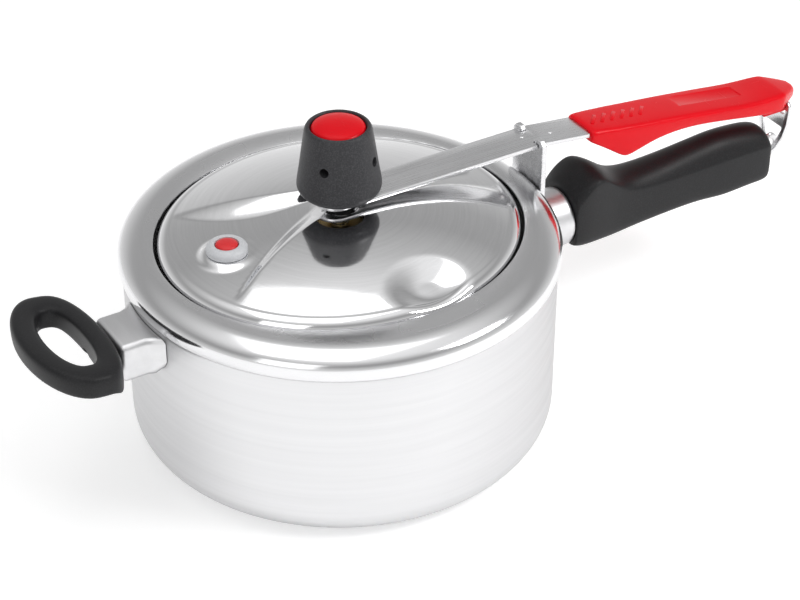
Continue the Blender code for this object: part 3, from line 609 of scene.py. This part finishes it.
def make_materials():
    groups = shader_groups()
    tones = settings().colours
    polished_aluminium(groups, tones.lid_metal[:])
    spun_aluminium(groups, tones.pot_metal[:])
    bright_steel(groups, tones.steel[:])
    black_phenolic(groups, tones.phenolic[:])
    red_plastic(groups, tones.red[:])
    soft_finish(groups, "black_rubber", tones.rubber[:], 0.6, 900.0)
    soft_finish(groups, "pale_plastic", tones.pale[:], 0.36, 1100.0)
    soft_finish(groups, "red_silicone", tones.silicone[:], 0.4, 800.0)
    turned_brass(groups, tones.brass[:])


# Pot -------------------------------------------------------------------------------------------


def build_pot():
    """Spun pot with an inward rim: the rim's inner edge is drawn in to the oval mouth."""
    sizes = settings().pot
    wall, shoulder, top = sizes.wall_radius / MM, sizes.shoulder_radius / MM, sizes.height / MM
    mouth, fillet = sizes.mouth_x / MM, sizes.base_fillet / MM
    corner = wall - fillet
    shoulder_z = top - 8.5
    crease_z = shoulder_z - 6.2
    ring_outer = shoulder - 14.0
    profile = [(mouth + 0.5, top - 3.0), (mouth, top - 2.4), (mouth, top - 0.7), (mouth + 0.2, top - 0.2)]
    profile += [(mouth + 0.7, top), (ring_outer - 1.2, top)]
    profile += arc((ring_outer, shoulder_z), (14.0, 8.5), 90, 0, 20)
    profile += arc((wall, shoulder_z), (shoulder - wall, 6.2), 0, -90, 8)[1:]
    profile += [(wall - 0.22, crease_z - 0.35), (wall - 0.05, crease_z - 1.0), (wall, crease_z - 1.6)]
    profile += [(wall, 60.0)]
    profile += arc((corner, fillet), (fillet, fillet), 0, -90, 16)
    profile += [(corner - 2.0, 0.0), (corner - 3.0, 0.5), (0.0, 0.5), (0.0, 3.0), (corner, 3.0)]
    profile += arc((corner, fillet), (fillet - 2.2, fillet - 3.0), -90, 0, 10)[1:]
    profile += [(wall - 2.2, crease_z - 2.0)]
    profile += arc((ring_outer, shoulder_z), (11.2, 5.5), 0, 90, 10)
    bm = bmesh.new()
    spin_profile(bm, profile + [profile[0]], sizes.steps)
    oval = sizes.mouth_y / sizes.mouth_x
    lip = [vert for vert in bm.verts if vert.co.xy.length < (mouth + 0.9) * MM]
    lip = [vert for vert in lip if vert.co.z > (top - 5.0) * MM]
    bmesh.ops.scale(bm, vec=(1.0, oval, 1.0), verts=lip)
    outward(bm)
    place(mesh_object("spun_pot", bm, 30.0), "pot", "spun_aluminium", "pot_body")


# Lid -------------------------------------------------------------------------------------------


def ramp(low, high, value):
    """A straight climb from 0 to 1 with only its two ends eased, so that a crease stays crisp."""
    t = min(max((value - low) / (high - low), 0.0), 1.0)
    return 0.75 * t + 0.25 * t * t * (3.0 - 2.0 * t)


def keyhole_depth(x, y):
    """1 in the pressed keyhole and 0 on the plateaus: a wedge round the valve, a channel under the strap."""
    if x < 0.0:
        ridge = 17.6 - 0.40 * x + 0.0010 * x * x
        foot = min(15.5 - 0.02 * x + 0.00015 * max(-x - 12.0, 0.0) ** 3, ridge - 1.2)
        front = 3.0 - 0.20 * x + 0.0030 * x * x
        width = 2.2 + 13.0 * max(1.0 + x / 80.0, 0.0)
        back_side = ramp(ridge, foot, y)
        front_side = ramp(0.0, width, y + front)
    else:
        flare = max(x - 56.0, 0.0) / 30.0
        back_side = ramp(0.0, 4.0, 9.5 + 10.0 * smooth_step(80.0, 93.0, x) - y)
        front = 3.0 + 1.8 * smooth_step(0.0, 20.0, x) + 14.0 * flare**1.7
        front_side = ramp(0.0, 4.0 + 9.0 * smooth_step(24.0, 0.0, x), y + front)
    return max(back_side * front_side, smooth_step(11.0, 8.0, math.hypot(x, y)))


def lid_height(x, y, sizes, oval, inner):
    """Height of the lid's top skin inside its bead, all in millimetres."""
    edge, rise, pad = sizes.dome_edge / MM, sizes.dome_rise / MM, sizes.pad_height / MM
    reach = min(math.hypot(x, y / oval) / inner, 1.0)
    dome = edge + rise * (1.0 - reach**2.3)
    floor = pad - (pad - edge) * reach**1.5
    floor += (pad - floor) * smooth_step(16.0, 11.0, math.hypot(x, y))
    height = dome + (min(floor, dome) - dome) * keyhole_depth(x, y)
    valve = smooth_step(16.0, 11.0, math.hypot(x - VALVE_X, y))
    return height + (VALVE_PAD_Z - height) * valve


def dimple(x, y, sizes):
    """Depth of the oval scoop pressed across the front edge."""
    reach = math.hypot((x - 8.0) / 25.0, (y + 73.0) / 19.0)
    return sizes.dimple_depth / MM * smooth_step(1.0, 0.2, reach)


def build_lid():
    """Oval pressed lid: flange, upright wall, rounded bead and dished dome, with a wall thickness."""
    sizes = settings().lid
    oval = settings().pot.mouth_y / settings().pot.mouth_x
    wall, flange = sizes.wall_x / MM, sizes.flange_x / MM
    flange_z, bead_z, bead, tube_hole, ring_count = 109.4, 111.5, 6.6, 5.3, 84
    inner = wall - bead
    rim = [(flange, flange_z), (wall + 1.2, flange_z), (wall + 0.3, 109.8), (wall, 110.4)]
    rim += arc((inner, bead_z), (bead, sizes.dome_edge / MM - bead_z), 0, 84, 14)
    rings = [inner - (inner - tube_hole) * i / ring_count for i in range(ring_count + 1)]
    profile = rim + [(radius, 117.0) for radius in rings]
    bm = bmesh.new()
    spin_profile(bm, profile, sizes.steps)
    bmesh.ops.scale(bm, vec=(1.0, oval, 1.0), verts=bm.verts)
    for vert in bm.verts:
        x, y = vert.co.x / MM, vert.co.y / MM
        if vert.co.z > 0.1118:
            reach = math.hypot(x, y / oval)
            height = vert.co.z / MM
            if reach < inner + 0.1:
                height = lid_height(x, y, sizes, oval, inner)
            vert.co.z = (height - dimple(x, y, sizes)) * MM
    outward(bm)
    if sum(face.normal.z * face.calc_area() for face in bm.faces) < 0.0:
        bmesh.ops.reverse_faces(bm, faces=bm.faces)
    lid = mesh_object("pressed_lid", bm, 50.0)
    shell = lid.modifiers.new("thickness", "SOLIDIFY")
    shell.thickness = 1.8 * MM
    shell.offset = -1.0
    carve(lid, [], 45.0)
    place(lid, "lid", "polished_aluminium", "lid")


def build_valve():
    """Pale ring with a soft shoulder and the red plug seated in it."""
    base, offset = VALVE_BASE_Z, (VALVE_X, 0, 0)
    ring = [(6.1, 3.6), (6.3, 4.3), (6.8, 4.5), (8.0, 4.5), (8.8, 4.2), (10.0, 3.2), (10.5, 2.4), (10.6, 1.2)]
    ring += [(10.6, 0.0), (5.0, 0.0), (5.0, -5.6), (2.8, -5.6), (2.8, 1.0), (6.1, 1.0), (6.1, 3.6)]
    ring = [(radius, base + z) for radius, z in ring]
    place(turned("valve_seat_ring", ring, 72, 40.0, offset=offset), "lid", "pale_plastic", "valve_ring")
    plug = [(0.0, 5.2), (2.0, 5.15), (3.8, 4.95), (5.0, 4.6), (5.6, 4.1), (5.8, 3.4), (5.8, 1.3), (2.3, 1.3)]
    plug += [(2.3, -6.6), (0.0, -6.6)]
    plug = [(radius, base + z) for radius, z in plug]
    place(turned("valve_soft_plug", plug, 60, 40.0, offset=offset), "lid", "red_silicone", "valve_plug")


# Weight ----------------------------------------------------------------------------------------


def build_weight():
    """Moulded jiggler weight with four vent holes and a domed red cap."""
    shell = [(0.0, 171.2), (14.4, 171.2), (14.4, 174.8), (14.6, 175.4), (15.1, 175.8), (15.8, 175.75)]
    shell += [(16.5, 175.2), (17.1, 174.1), (17.5, 172.6), (18.6, 165.0), (20.3, 153.0), (21.3, 147.0)]
    shell += [(21.75, 143.8), (21.8, 142.4), (21.5, 140.9), (20.8, 139.6), (19.6, 138.4), (18.0, 137.4)]
    shell += [(16.4, 136.8), (15.2, 136.6), (13.4, 136.6), (13.2, 136.9), (13.2, 166.6), (0.0, 166.6)]
    body = turned("weight_moulding", shell, 120, 40.0)
    cuts = []
    for k in range(4):
        hole = round_bar(2.5, 12.0, (17.0, 0.0, 158.6), segments=32)
        turn_about(hole, math.radians(38.0 + 90.0 * k), "Z")
        cuts.append(("DIFFERENCE", cutter(hole)))
    carve(body, cuts, 40.0)
    place(body, "weight", "black_phenolic", "weight_shell")
    radius, foot = 13.9, 174.3
    rise = CAP_HIGH.z / MM - foot
    angles = [math.radians(angle) for angle in range(0, 78, 6)]
    cap = [(radius * math.sin(angle), foot + rise * math.cos(angle) ** 0.8) for angle in angles]
    cap += [(radius, 174.4), (14.0, 173.9), (14.0, 171.5), (0.0, 171.5)]
    place(turned("weight_red_cap", cap, 96, 45.0), "weight", "red_plastic", "weight_cap")


# Lever -----------------------------------------------------------------------------------------


def strap_drop(x):
    """How far the strap has fallen at a distance along it, with its bend eased over a few millimetres."""
    sizes = settings().lever
    past = x - sizes.bend_x / MM
    if past < -3.0:
        return 0.0
    if past > 3.0:
        return sizes.slope * past
    return sizes.slope * (past + 3.0) ** 2 / 12.0


def build_strap():
    """Steel strap: round tail, ear notches with pressed pips, and the narrow tang in the grip."""
    sizes = settings().lever
    wide = sizes.strap_half_width / MM
    neck = wide - 4.6
    right = [(114.4, -wide), (114.4, -neck), (119.2, -neck), (119.2, -wide)]
    right += [(148.6, -wide), (148.6, -7.0), (236.0, -7.0)]
    left = [(x, -y) for x, y in reversed(right)]
    tail = arc((STRAP_LOW.x / MM + wide, 0.0), (wide, wide), 90, 270, 32)
    holes = [arc((0.0, 0.0), (6.0, 6.0), 0, 360, 40)[:-1]]
    holes += [arc((x, 0.0), (2.3, 2.3), 0, 360, 24)[:-1] for x in GRIP_SCREWS_X]
    bm = bmesh.new()
    flat_plate(bm, [right + left + tail] + holes, sizes.strap_thickness / MM)
    round_edges(bm, sharp_edges(bm, 25.0), 0.35, 2)
    for x in (116.9, 118.0, 119.0, 120.0, 121.0, 122.0, 123.0):
        whole = bm.verts[:] + bm.edges[:] + bm.faces[:]
        bmesh.ops.bisect_plane(bm, geom=whole, plane_co=(x * MM, 0, 0), plane_no=(1, 0, 0), dist=0.000001)
    move(bm, (0, 0, STRAP_HIGH.z / MM - sizes.strap_thickness / MM))
    for vert in bm.verts:
        vert.co.z -= strap_drop(vert.co.x / MM) * MM
    for x, y in ((112.0, 1.0), (128.5, -1.3)):
        top = (STRAP_HIGH.z / MM - strap_drop(x) - 0.4) * MM
        shape = Matrix.Diagonal((1.5 * MM, 1.2 * MM, 0.85 * MM, 1.0))
        shape = Matrix.Translation((x * MM, y * MM, top)) @ shape
        bmesh.ops.create_uvsphere(bm, u_segments=20, v_segments=10, radius=1.0, matrix=shape)
    place(mesh_object("clamping_strap", bm, 35.0), "lever", "bright_steel", "lever_strap")


# Each station of the grip: x, top, bottom, half width
GRIP_STATIONS = (
    (149.0, 131.4, 126.0, 11.2),
    (149.6, 132.1, 124.8, 12.0),
    (151.2, 132.5, 123.8, 12.7),
    (157.0, 131.9, 120.2, 13.1),
    (165.0, 130.9, 114.6, 13.6),
    (170.5, 130.2, 110.7, 13.8),
    (173.5, 129.9, 110.1, 13.9),
    (178.0, 129.3, 111.0, 14.0),
    (187.0, 128.2, 113.6, 14.1),
    (196.0, 127.2, 115.5, 14.2),
    (210.0, 125.6, 116.2, 14.3),
    (224.0, 123.7, 115.0, 14.4),
    (240.0, 121.6, 112.4, 14.5),
    (256.0, 119.2, 109.6, 14.6),
    (268.0, 118.4, 107.4, 14.4),
    (277.0, 118.2, 106.4, 14.0),
    (281.6, 118.0, 106.4, 13.4),
    (283.0, 117.8, 106.5, 12.7),
    (290.0, 116.4, 107.0, 8.6),
    (294.4, 115.3, 107.4, 5.6),
    (295.4, 114.7, 107.8, 5.0),
)


def grip_ring(x, top, bottom, half):
    """Section of the grip: a nearly flat top, narrow bevelled ridges and a tapering skirt."""
    side = half * 0.93
    right = [(0.0, top), (half * 0.5, top - 0.1), (half - 2.6, top - 0.35), (half - 1.5, top - 0.6)]
    right += [(half - 0.5, top - 1.5), (half - 0.1, top - 2.4), ((half + side) / 2, (top + bottom) / 2 - 0.6)]
    right += [(side, bottom + 1.8), (side - 0.3, bottom + 0.7), (side - 1.4, bottom), (side * 0.4, bottom)]
    left = [(-y, z) for y, z in reversed(right[1:])]
    return [(x, y, z) for y, z in right + left]


# Corners of the blocks that cut the latch groove and trim the shelf below it
GROOVE_BLOCKS = (
    ((285.6, -20, 104.6), (300, 20, 109.2)),
    ((289.2, -21, 95), (301, 21, 109.0)),
    ((285.9, 8.2, 94), (302, 20.5, 109.1)),
    ((285.9, -20.5, 94), (302, -8.2, 109.1)),
)


def sloped_tool(bm, x, z, slope):
    """Turns a tool that was made round the origin to the grip's slope, and puts it on the grip."""
    turn_about(bm, math.atan(slope), "Y")
    move(bm, (x, 0, z))
    return cutter(bm)


def strap_underside(x):
    """Height of the strap's lower face beyond its bend."""
    sizes = settings().lever
    return STRAP_UNDERSIDE_Z - sizes.slope * (x - sizes.bend_x / MM)


def rib_tools(height):
    """Slanted ribs in a row down the grip's top."""
    start_x, start_z, pitch, fall = 158.0, 131.8, 6.4, 0.124
    tools = []
    for k in range(6):
        rib = rounded_box((-1.1, -5.4, -1.0), (1.1, 5.4, height), 0.5, 2)
        turn_about(rib, math.radians(-42), "Z")
        tools.append(("UNION", sloped_tool(rib, start_x + pitch * k, start_z - fall * pitch * k, fall)))
    return tools


def build_grip():
    """Red grip: finger stop, slanted ribs, plain recessed panel, widened end and latch groove."""
    sizes = settings().lever
    bm = bmesh.new()
    loft(bm, [grip_ring(*station) for station in GRIP_STATIONS])
    grip = mesh_object("lever_red_grip", bm, 60.0)
    subdivided(grip, 2)
    lip = rounded_box((272.0, -8.1, 102.6), (289.0, 8.1, 108.4), 0.8, 3)
    cuts = [("UNION", cutter(lip))]
    tang_x = 190.5
    tang = rounded_box((-50, -7.3, -0.3), (46, 7.3, 2.45), 0.2, 2)
    cuts.append(("DIFFERENCE", sloped_tool(tang, tang_x, strap_underside(tang_x), sizes.slope)))
    cuts += [("DIFFERENCE", cutter(rounded_box(low, high, 0.25, 2))) for low, high in GROOVE_BLOCKS]
    for x in GRIP_SCREWS_X:
        hole = round_bar(4.3, 30.0, (x, 0, strap_underside(x) - 18.7), "Z", 40)
        cuts.append(("DIFFERENCE", cutter(hole)))
    panel = rounded_box((-22.5, -3.6, -sizes.panel_depth / MM), (22.5, 8.8, 4.0), 1.2, 3)
    cuts.append(("DIFFERENCE", sloped_tool(panel, 236.0, 122.0, 0.142)))
    cuts += rib_tools(sizes.rib_height / MM)
    carve(grip, cuts, 38.0)
    place(grip, "lever", "red_plastic", "lever_grip")


# Bracket, ferrule and long handle --------------------------------------------------------------


def build_bracket():
    """Fulcrum plate with broken edges, and the satin ferrule between it and the handle."""
    place(from_frame("fulcrum_plate", "fulcrum_bracket", 0.4), "pot", "bright_steel", "fulcrum_bracket")
    start, end = FERRULE_LOW.x / MM, FERRULE_HIGH.x / MM
    profile = [(3.5, end), (15.6, end), (16.1, end - 0.15), (16.4, end - 0.6), (16.45, end - 2.0)]
    profile += [(17.2, start + 2.2), (17.4, start + 1.2), (17.3, start + 0.4), (16.9, start), (15.2, start)]
    profile += [(14.2, end - 3.0), (3.5, end - 3.0), (3.5, end)]
    ferrule = turned("ferrule", profile, 96, 40.0, "X", (0, 0, HANDLE_Z))
    place(ferrule, "pot", "spun_aluminium", "handle_ferrule")


# Each station of the handle: x, top, bottom, half width, height of the side ridges
HANDLE_STATIONS = (
    (138.3, 95.0, 63.5, 16.2, 88.0),
    (138.9, 96.4, 62.8, 16.9, 90.0),
    (143.0, 99.8, 61.6, 17.2, 95.0),
    (148.5, 103.6, 61.2, 17.0, 99.6),
    (154.0, 105.8, 60.8, 16.3, 102.0),
    (159.5, 103.8, 60.4, 15.5, 99.6),
    (165.5, 99.4, 59.9, 14.6, 94.4),
    (172.0, 95.4, 59.9, 13.9, 89.6),
    (182.0, 93.2, 60.6, 13.4, 86.2),
    (200.0, 93.8, 61.4, 13.2, 85.4),
    (225.0, 96.6, 62.4, 13.3, 85.3),
    (240.0, 98.2, 60.6, 13.5, 86.0),
    (248.0, 98.3, 60.4, 13.6, 86.1),
    (263.0, 97.0, 61.4, 13.6, 86.2),
    (271.5, 95.2, 61.2, 13.4, 86.0),
    (275.4, 93.2, 61.6, 12.9, 85.2),
    (276.7, 91.4, 62.4, 12.2, 84.2),
    (277.0, 90.2, 63.2, 11.4, 83.6),
)


def handle_ring(x, top, bottom, half, ridge):
    """Section of the handle: crowned top, crisp side ridges, flat flank and soft lower corners."""
    fall = top - ridge
    right = [(0.0, top), (half * 0.42, top - fall * 0.12), (half * 0.74, top - fall * 0.45)]
    right += [(half * 0.93, ridge + 1.1), (half * 0.99, ridge - 0.2), (half, ridge - 1.6)]
    right += [(half, (ridge + bottom) / 2), (half, bottom + 5.5), (half * 0.92, bottom + 2.0)]
    right += [(half * 0.72, bottom + 0.4), (half * 0.35, bottom)]
    left = [(-y, z) for y, z in reversed(right[1:])]
    return [(x, y, z) for y, z in right + left]


def build_long_handle():
    """Moulded handle: hump behind the ferrule, thumb dip, long grip and blunt end."""
    bm = bmesh.new()
    loft(bm, [handle_ring(*station) for station in HANDLE_STATIONS])
    handle = mesh_object("moulded_handle", bm, 60.0)
    subdivided(handle, 3)
    bore = round_bar(3.3, 180.0, (207.7, 0, HANDLE_Z))
    carve(handle, [("DIFFERENCE", cutter(bore))], 40.0)
    place(handle, "pot", "black_phenolic", "long_handle")


def build_latch():
    """Stamped latch ring and the tie rod whose eye carries it."""
    place(from_frame("stamped_latch", "latch_ring", 0.35), "latch", "bright_steel", "latch_ring")
    start, end = 118.5, 280.0
    rod = [(0.0, start), (2.7, start), (3.0, start + 0.4), (3.0, end - 1.6), (2.4, end - 0.2)]
    rod += [(1.2, end + 0.3), (0.0, end + 0.3)]
    tie_rod = turned("tie_rod_and_eye", rod, 40, 40.0, "X", (0, 0, HANDLE_Z))
    eye_x, eye_half_x, eye_half_z, wire_radius = 284.8, 4.6, 6.0, 1.5
    bm = bmesh.new()
    wire = arc((eye_half_x, 0.0), (wire_radius, wire_radius), 0, 360, 18)[:-1]
    verts, edges = polyline(bm, [(radius, y, 0.0) for radius, y in wire], closed=True)
    bmesh.ops.spin(
        bm, geom=verts + edges, cent=(0, 0, 0), axis=(0, 1, 0), angle=2 * math.pi, steps=64, use_merge=True
    )
    bmesh.ops.scale(bm, vec=(1.0, 1.0, eye_half_z / eye_half_x), verts=bm.verts)
    move(bm, (eye_x, 0, HANDLE_Z))
    outward(bm)
    carve(tie_rod, [("UNION", cutter(bm))], 40.0)
    place(tie_rod, "pot", "bright_steel", "tie_rod")


# Helper handle ---------------------------------------------------------------------------------


def build_helper_bracket():
    """Pressed aluminium bracket: a block with softly rolled edges that flares onto the wall."""
    end, half = BLOCK_LOW.x / MM, 16.0
    low, high = BLOCK_LOW.z / MM, BLOCK_HIGH.z / MM
    outline = [(end, -half), (-119.5, -half), (-116.0, -half - 1.2), (-107.0, -24.5), (-98.0, -24.5)]
    outline += [(x, -y) for x, y in reversed(outline)]
    bm = bmesh.new()
    flat_plate(bm, [outline], high - low)
    move(bm, (0, 0, low))
    edges = [edge for edge in sharp_edges(bm, 40.0) if min(vert.co.x for vert in edge.verts) < -0.0985]
    round_edges(bm, edges, 5.6, 6)
    for vert in bm.verts:
        over = max(abs(vert.co.y) / MM - half - 0.6, 0.0)
        vert.co.z += 1.7 * over * MM * (high * MM - vert.co.z) / ((high - low) * MM)
    block = mesh_object("helper_block", bm, 40.0)
    wall = cutter(round_bar(113.2, 80.0, (0, 0, 86.0), "Z", 256))
    sheet = 2.4
    hollow = rounded_box((end + 2.6, sheet - half, low - 8), (-117.0, half - sheet, high - sheet), 1.5, 3)
    carve(block, [("DIFFERENCE", wall), ("DIFFERENCE", cutter(hollow))], 40.0)
    place(block, "pot", "spun_aluminium", "helper_bracket")


def squared(x, centre, half):
    """Fills an oval's side towards the pot out, so that the loop is seated square against its bracket."""
    if x <= centre:
        return x
    return centre + half * ((x - centre) / half) ** 0.62


def helper_height(x, z, low, high):
    """Rises a little away from the pot, and thins from the deep seat to the slim outer grip."""
    away = BLOCK_LOW.x / MM - x
    lift = 9.5 * smooth_step(1.0, 16.0, away)
    return z + 0.14 * away + lift * (high - z) / (high - low)


def build_helper_handle():
    """Moulded oval loop with softly rolled edges, its finger hole and the screw's recess."""
    centre = (HELPER_LOW.x / MM + 22.6, 0.0)
    low, high = HELPER_LOW.z / MM, HELPER_HIGH.z / MM
    outer, hole = (22.4, 41.0), (10.2, 26.0)
    section = [(0.02, low + 6.0), (0.0, high - 8.0), (0.02, high - 4.0), (0.10, high - 1.3)]
    section += [(0.24, high - 0.2), (0.45, high), (0.70, high - 0.1), (0.88, high - 0.9), (0.98, high - 2.8)]
    section += [(1.0, high - 6.0), (1.0, low + 6.0), (0.98, low + 2.6), (0.88, low + 0.8), (0.66, low)]
    section += [(0.34, low), (0.14, low + 0.9), (0.05, low + 2.8)]
    bm = bmesh.new()
    loops = []
    for share, z in section:
        half_x = outer[0] + (hole[0] - outer[0]) * share
        half_y = outer[1] + (hole[1] - outer[1]) * share
        oval = arc((centre[0] + 0.6 * share, 0.0), (half_x, half_y), 0, 360, 64)[:-1]
        oval = [(squared(x, centre[0], half_x), y) for x, y in oval]
        ring = [(x, y, helper_height(x, z, low, high)) for x, y in oval]
        loops.append(polyline(bm, ring, closed=True)[1])
    for first, second in zip(loops, loops[1:] + loops[:1]):
        bmesh.ops.bridge_loops(bm, edges=first + second)
    outward(bm)
    loop = mesh_object("helper_loop", bm, 60.0)
    subdivided(loop, 2)
    cuts = []
    for radius, x, depth in ((5.0, -143.4, 10.0), (2.8, -138.0, 20.0)):
        cuts.append(("DIFFERENCE", cutter(round_bar(radius, depth, (x, 0, 87.0)))))
    carve(loop, cuts, 40.0)
    place(loop, "pot", "black_phenolic", "helper_handle")


# Small fixings ---------------------------------------------------------------------------------


def finish_fixings():
    """Gives every frame node that stays in view or inside its own finish."""
    slots = {part["node"]: part["material_slot"] for part in frame["record"]["subparts"]}
    for name, obj in frame["nodes"].items():
        finish = MATERIALS[slots[name]]
        for index in range(len(obj.material_slots)):
            obj.material_slots[index].material = finish


# Stage -----------------------------------------------------------------------------------------


def area_light(name, location, target, size, power):
    light = bpy.data.lights.new(name, "AREA")
    light.shape = "RECTANGLE"
    light.size, light.size_y = size
    light.energy = power
    obj = bpy.data.objects.new(name, light)
    obj.location = location
    obj.rotation_euler = (Vector(target) - Vector(location)).to_track_quat("-Z", "Y").to_euler()
    bpy.context.scene.collection.objects.link(obj)


def build_floor():
    tone = settings().colours.floor[:]
    bm = bmesh.new()
    bmesh.ops.create_grid(bm, x_segments=8, y_segments=8, size=6.0)
    floor = mesh_object("floor", bm)
    tree, shader = new_material("floor", tone, 0.7)
    tinted(tree, shader, noise(tree, object_coordinates(tree), 3.0), tone, shade(tone, 1.03))
    shader.inputs["Emission Color"].default_value = (1.0, 1.0, 1.0, 1.0)
    shader.inputs["Emission Strength"].default_value = 0.3
    floor.data.materials.append(MATERIALS["floor"])


# Brightness of the studio surround from straight below (0) to straight above (1)
SKY_STOPS = (
    (0.0, 0.9),
    (0.5, 0.85),
    (0.575, 0.72),
    (0.67, 0.58),
    (0.75, 0.40),
    (0.81, 0.37),
    (0.885, 0.58),
    (0.95, 0.9),
    (1.0, 1.0),
)


def build_sky():
    """Studio surround that is darkest in a band above the horizon, so that the metal has contrast."""
    world = bpy.data.worlds.new("studio")
    bpy.context.scene.world = world
    world.use_nodes = True
    tree = world.node_tree
    tree.nodes.clear()
    direction = node(tree, "ShaderNodeTexCoord").outputs["Generated"]
    height = node(tree, "ShaderNodeSeparateXYZ", {0: direction}).outputs[2]
    bands = node(tree, "ShaderNodeValToRGB", {0: remap(tree, height, -1.0, 1.0, 0.0, 1.0)})
    elements = bands.color_ramp.elements
    for element, (position, value) in zip(elements, (SKY_STOPS[0], SKY_STOPS[-1])):
        element.position = position
        element.color = (value, value, value, 1.0)
    for position, value in SKY_STOPS[1:-1]:
        elements.new(position).color = (value, value, value, 1.0)
    back = node(tree, "ShaderNodeBackground", {"Color": bands.outputs[0], "Strength": 1.0})
    surface = node(tree, "ShaderNodeOutputWorld")
    tree.links.new(back.outputs[0], surface.inputs["Surface"])


def build_camera():
    camera = bpy.data.cameras.new("camera")
    camera.lens = 99.3
    camera.sensor_width = 36.0
    camera.clip_start, camera.clip_end = 0.05, 30.0
    obj = bpy.data.objects.new("camera", camera)
    right = Vector((0.8572, -0.5150, 0.0)).normalized()
    forward = Vector((0.4224, 0.7031, -0.5721)).normalized()
    up = right.cross(forward).normalized()
    right = forward.cross(up)
    turn = Matrix((right, up, -forward)).transposed().to_4x4()
    obj.matrix_world = Matrix.Translation((-0.4644, -0.8329, 0.7342)) @ turn
    bpy.context.scene.collection.objects.link(obj)
    bpy.context.scene.camera = obj


def build_stage():
    build_floor()
    build_sky()
    build_camera()
    area_light("overhead", (-0.1, 0.1, 1.5), (0, 0, 0), (1.3, 0.9), 2.6)
    area_light("front_left", (-1.3, -0.9, 0.9), (0, 0, 0.05), (0.8, 1.1), 3.0)
    area_light("front_right", (0.77, -0.74, 1.03), (0.2, 0, 0.1), (0.55, 0.32), 6.5)
    bpy.context.scene.view_settings.view_transform = "Standard"


# Operators and panel ---------------------------------------------------------------------------


class COOKER_OT_stage(bpy.types.Operator):
    """Build the floor, the studio light and the camera"""

    bl_idname = "cooker.stage"
    bl_label = "Stage"

    def execute(self, context):
        build_stage()
        return {"FINISHED"}


class COOKER_OT_finishes(bpy.types.Operator):
    """Make the materials and give them to the small fixings that keep the frame's shape"""

    bl_idname = "cooker.finishes"
    bl_label = "Finishes and Fixings"

    def execute(self, context):
        make_materials()
        finish_fixings()
        return {"FINISHED"}


class COOKER_OT_pot(bpy.types.Operator):
    """Build the spun pot with its rolled shoulder and oval mouth"""

    bl_idname = "cooker.pot"
    bl_label = "Pot"

    def execute(self, context):
        build_pot()
        return {"FINISHED"}


class COOKER_OT_lid(bpy.types.Operator):
    """Build the oval lid with its pressed keyhole"""

    bl_idname = "cooker.lid"
    bl_label = "Lid"

    def execute(self, context):
        build_lid()
        return {"FINISHED"}


class COOKER_OT_valve(bpy.types.Operator):
    """Build the safety valve's ring and plug"""

    bl_idname = "cooker.valve"
    bl_label = "Safety Valve"

    def execute(self, context):
        build_valve()
        return {"FINISHED"}


class COOKER_OT_weight(bpy.types.Operator):
    """Build the jiggler weight and its cap"""

    bl_idname = "cooker.weight"
    bl_label = "Weight"

    def execute(self, context):
        build_weight()
        return {"FINISHED"}


class COOKER_OT_strap(bpy.types.Operator):
    """Build the lever's steel strap"""

    bl_idname = "cooker.strap"
    bl_label = "Lever Strap"

    def execute(self, context):
        build_strap()
        return {"FINISHED"}


class COOKER_OT_grip(bpy.types.Operator):
    """Build the lever's moulded grip"""

    bl_idname = "cooker.grip"
    bl_label = "Lever Grip"

    def execute(self, context):
        build_grip()
        return {"FINISHED"}


class COOKER_OT_bracket(bpy.types.Operator):
    """Build the fulcrum bracket and the ferrule"""

    bl_idname = "cooker.bracket"
    bl_label = "Bracket and Ferrule"

    def execute(self, context):
        build_bracket()
        return {"FINISHED"}


class COOKER_OT_handle(bpy.types.Operator):
    """Build the long moulded handle"""

    bl_idname = "cooker.handle"
    bl_label = "Long Handle"

    def execute(self, context):
        build_long_handle()
        return {"FINISHED"}


class COOKER_OT_latch(bpy.types.Operator):
    """Build the latch ring and the tie rod with its eye"""

    bl_idname = "cooker.latch"
    bl_label = "Latch and Tie Rod"

    def execute(self, context):
        build_latch()
        return {"FINISHED"}


class COOKER_OT_helper(bpy.types.Operator):
    """Build the helper handle and its bracket"""

    bl_idname = "cooker.helper"
    bl_label = "Helper Handle"

    def execute(self, context):
        build_helper_bracket()
        build_helper_handle()
        return {"FINISHED"}


BUILD_ORDER = (
    COOKER_OT_stage,
    COOKER_OT_finishes,
    COOKER_OT_pot,
    COOKER_OT_lid,
    COOKER_OT_valve,
    COOKER_OT_weight,
    COOKER_OT_strap,
    COOKER_OT_grip,
    COOKER_OT_bracket,
    COOKER_OT_handle,
    COOKER_OT_latch,
    COOKER_OT_helper,
)


class COOKER_PT_build(bpy.types.Panel):
    """Lists the cooker's build steps"""

    bl_idname = "COOKER_PT_build"
    bl_label = "Pressure Cooker"
    bl_space_type = "VIEW_3D"
    bl_region_type = "UI"
    bl_category = "Cooker"

    def draw(self, context):
        for operator in BUILD_ORDER:
            self.layout.operator(operator.bl_idname)


CLASSES = (PotSizes, LidSizes, LeverSizes, FinishColours, CookerSettings, *BUILD_ORDER, COOKER_PT_build)


def register():
    for cls in CLASSES:
        bpy.utils.register_class(cls)
    bpy.types.Scene.pressure_cooker = PointerProperty(type=CookerSettings)


def unregister():
    del bpy.types.Scene.pressure_cooker
    for cls in reversed(CLASSES):
        bpy.utils.unregister_class(cls)


def main():
    register()
    for operator in BUILD_ORDER:
        group, name = operator.bl_idname.split(".")
        result = getattr(getattr(bpy.ops, group), name)()
        if "FINISHED" not in result:
            raise RuntimeError(f"{operator.bl_idname} didn't finish")


if __name__ == "__main__":
    main()
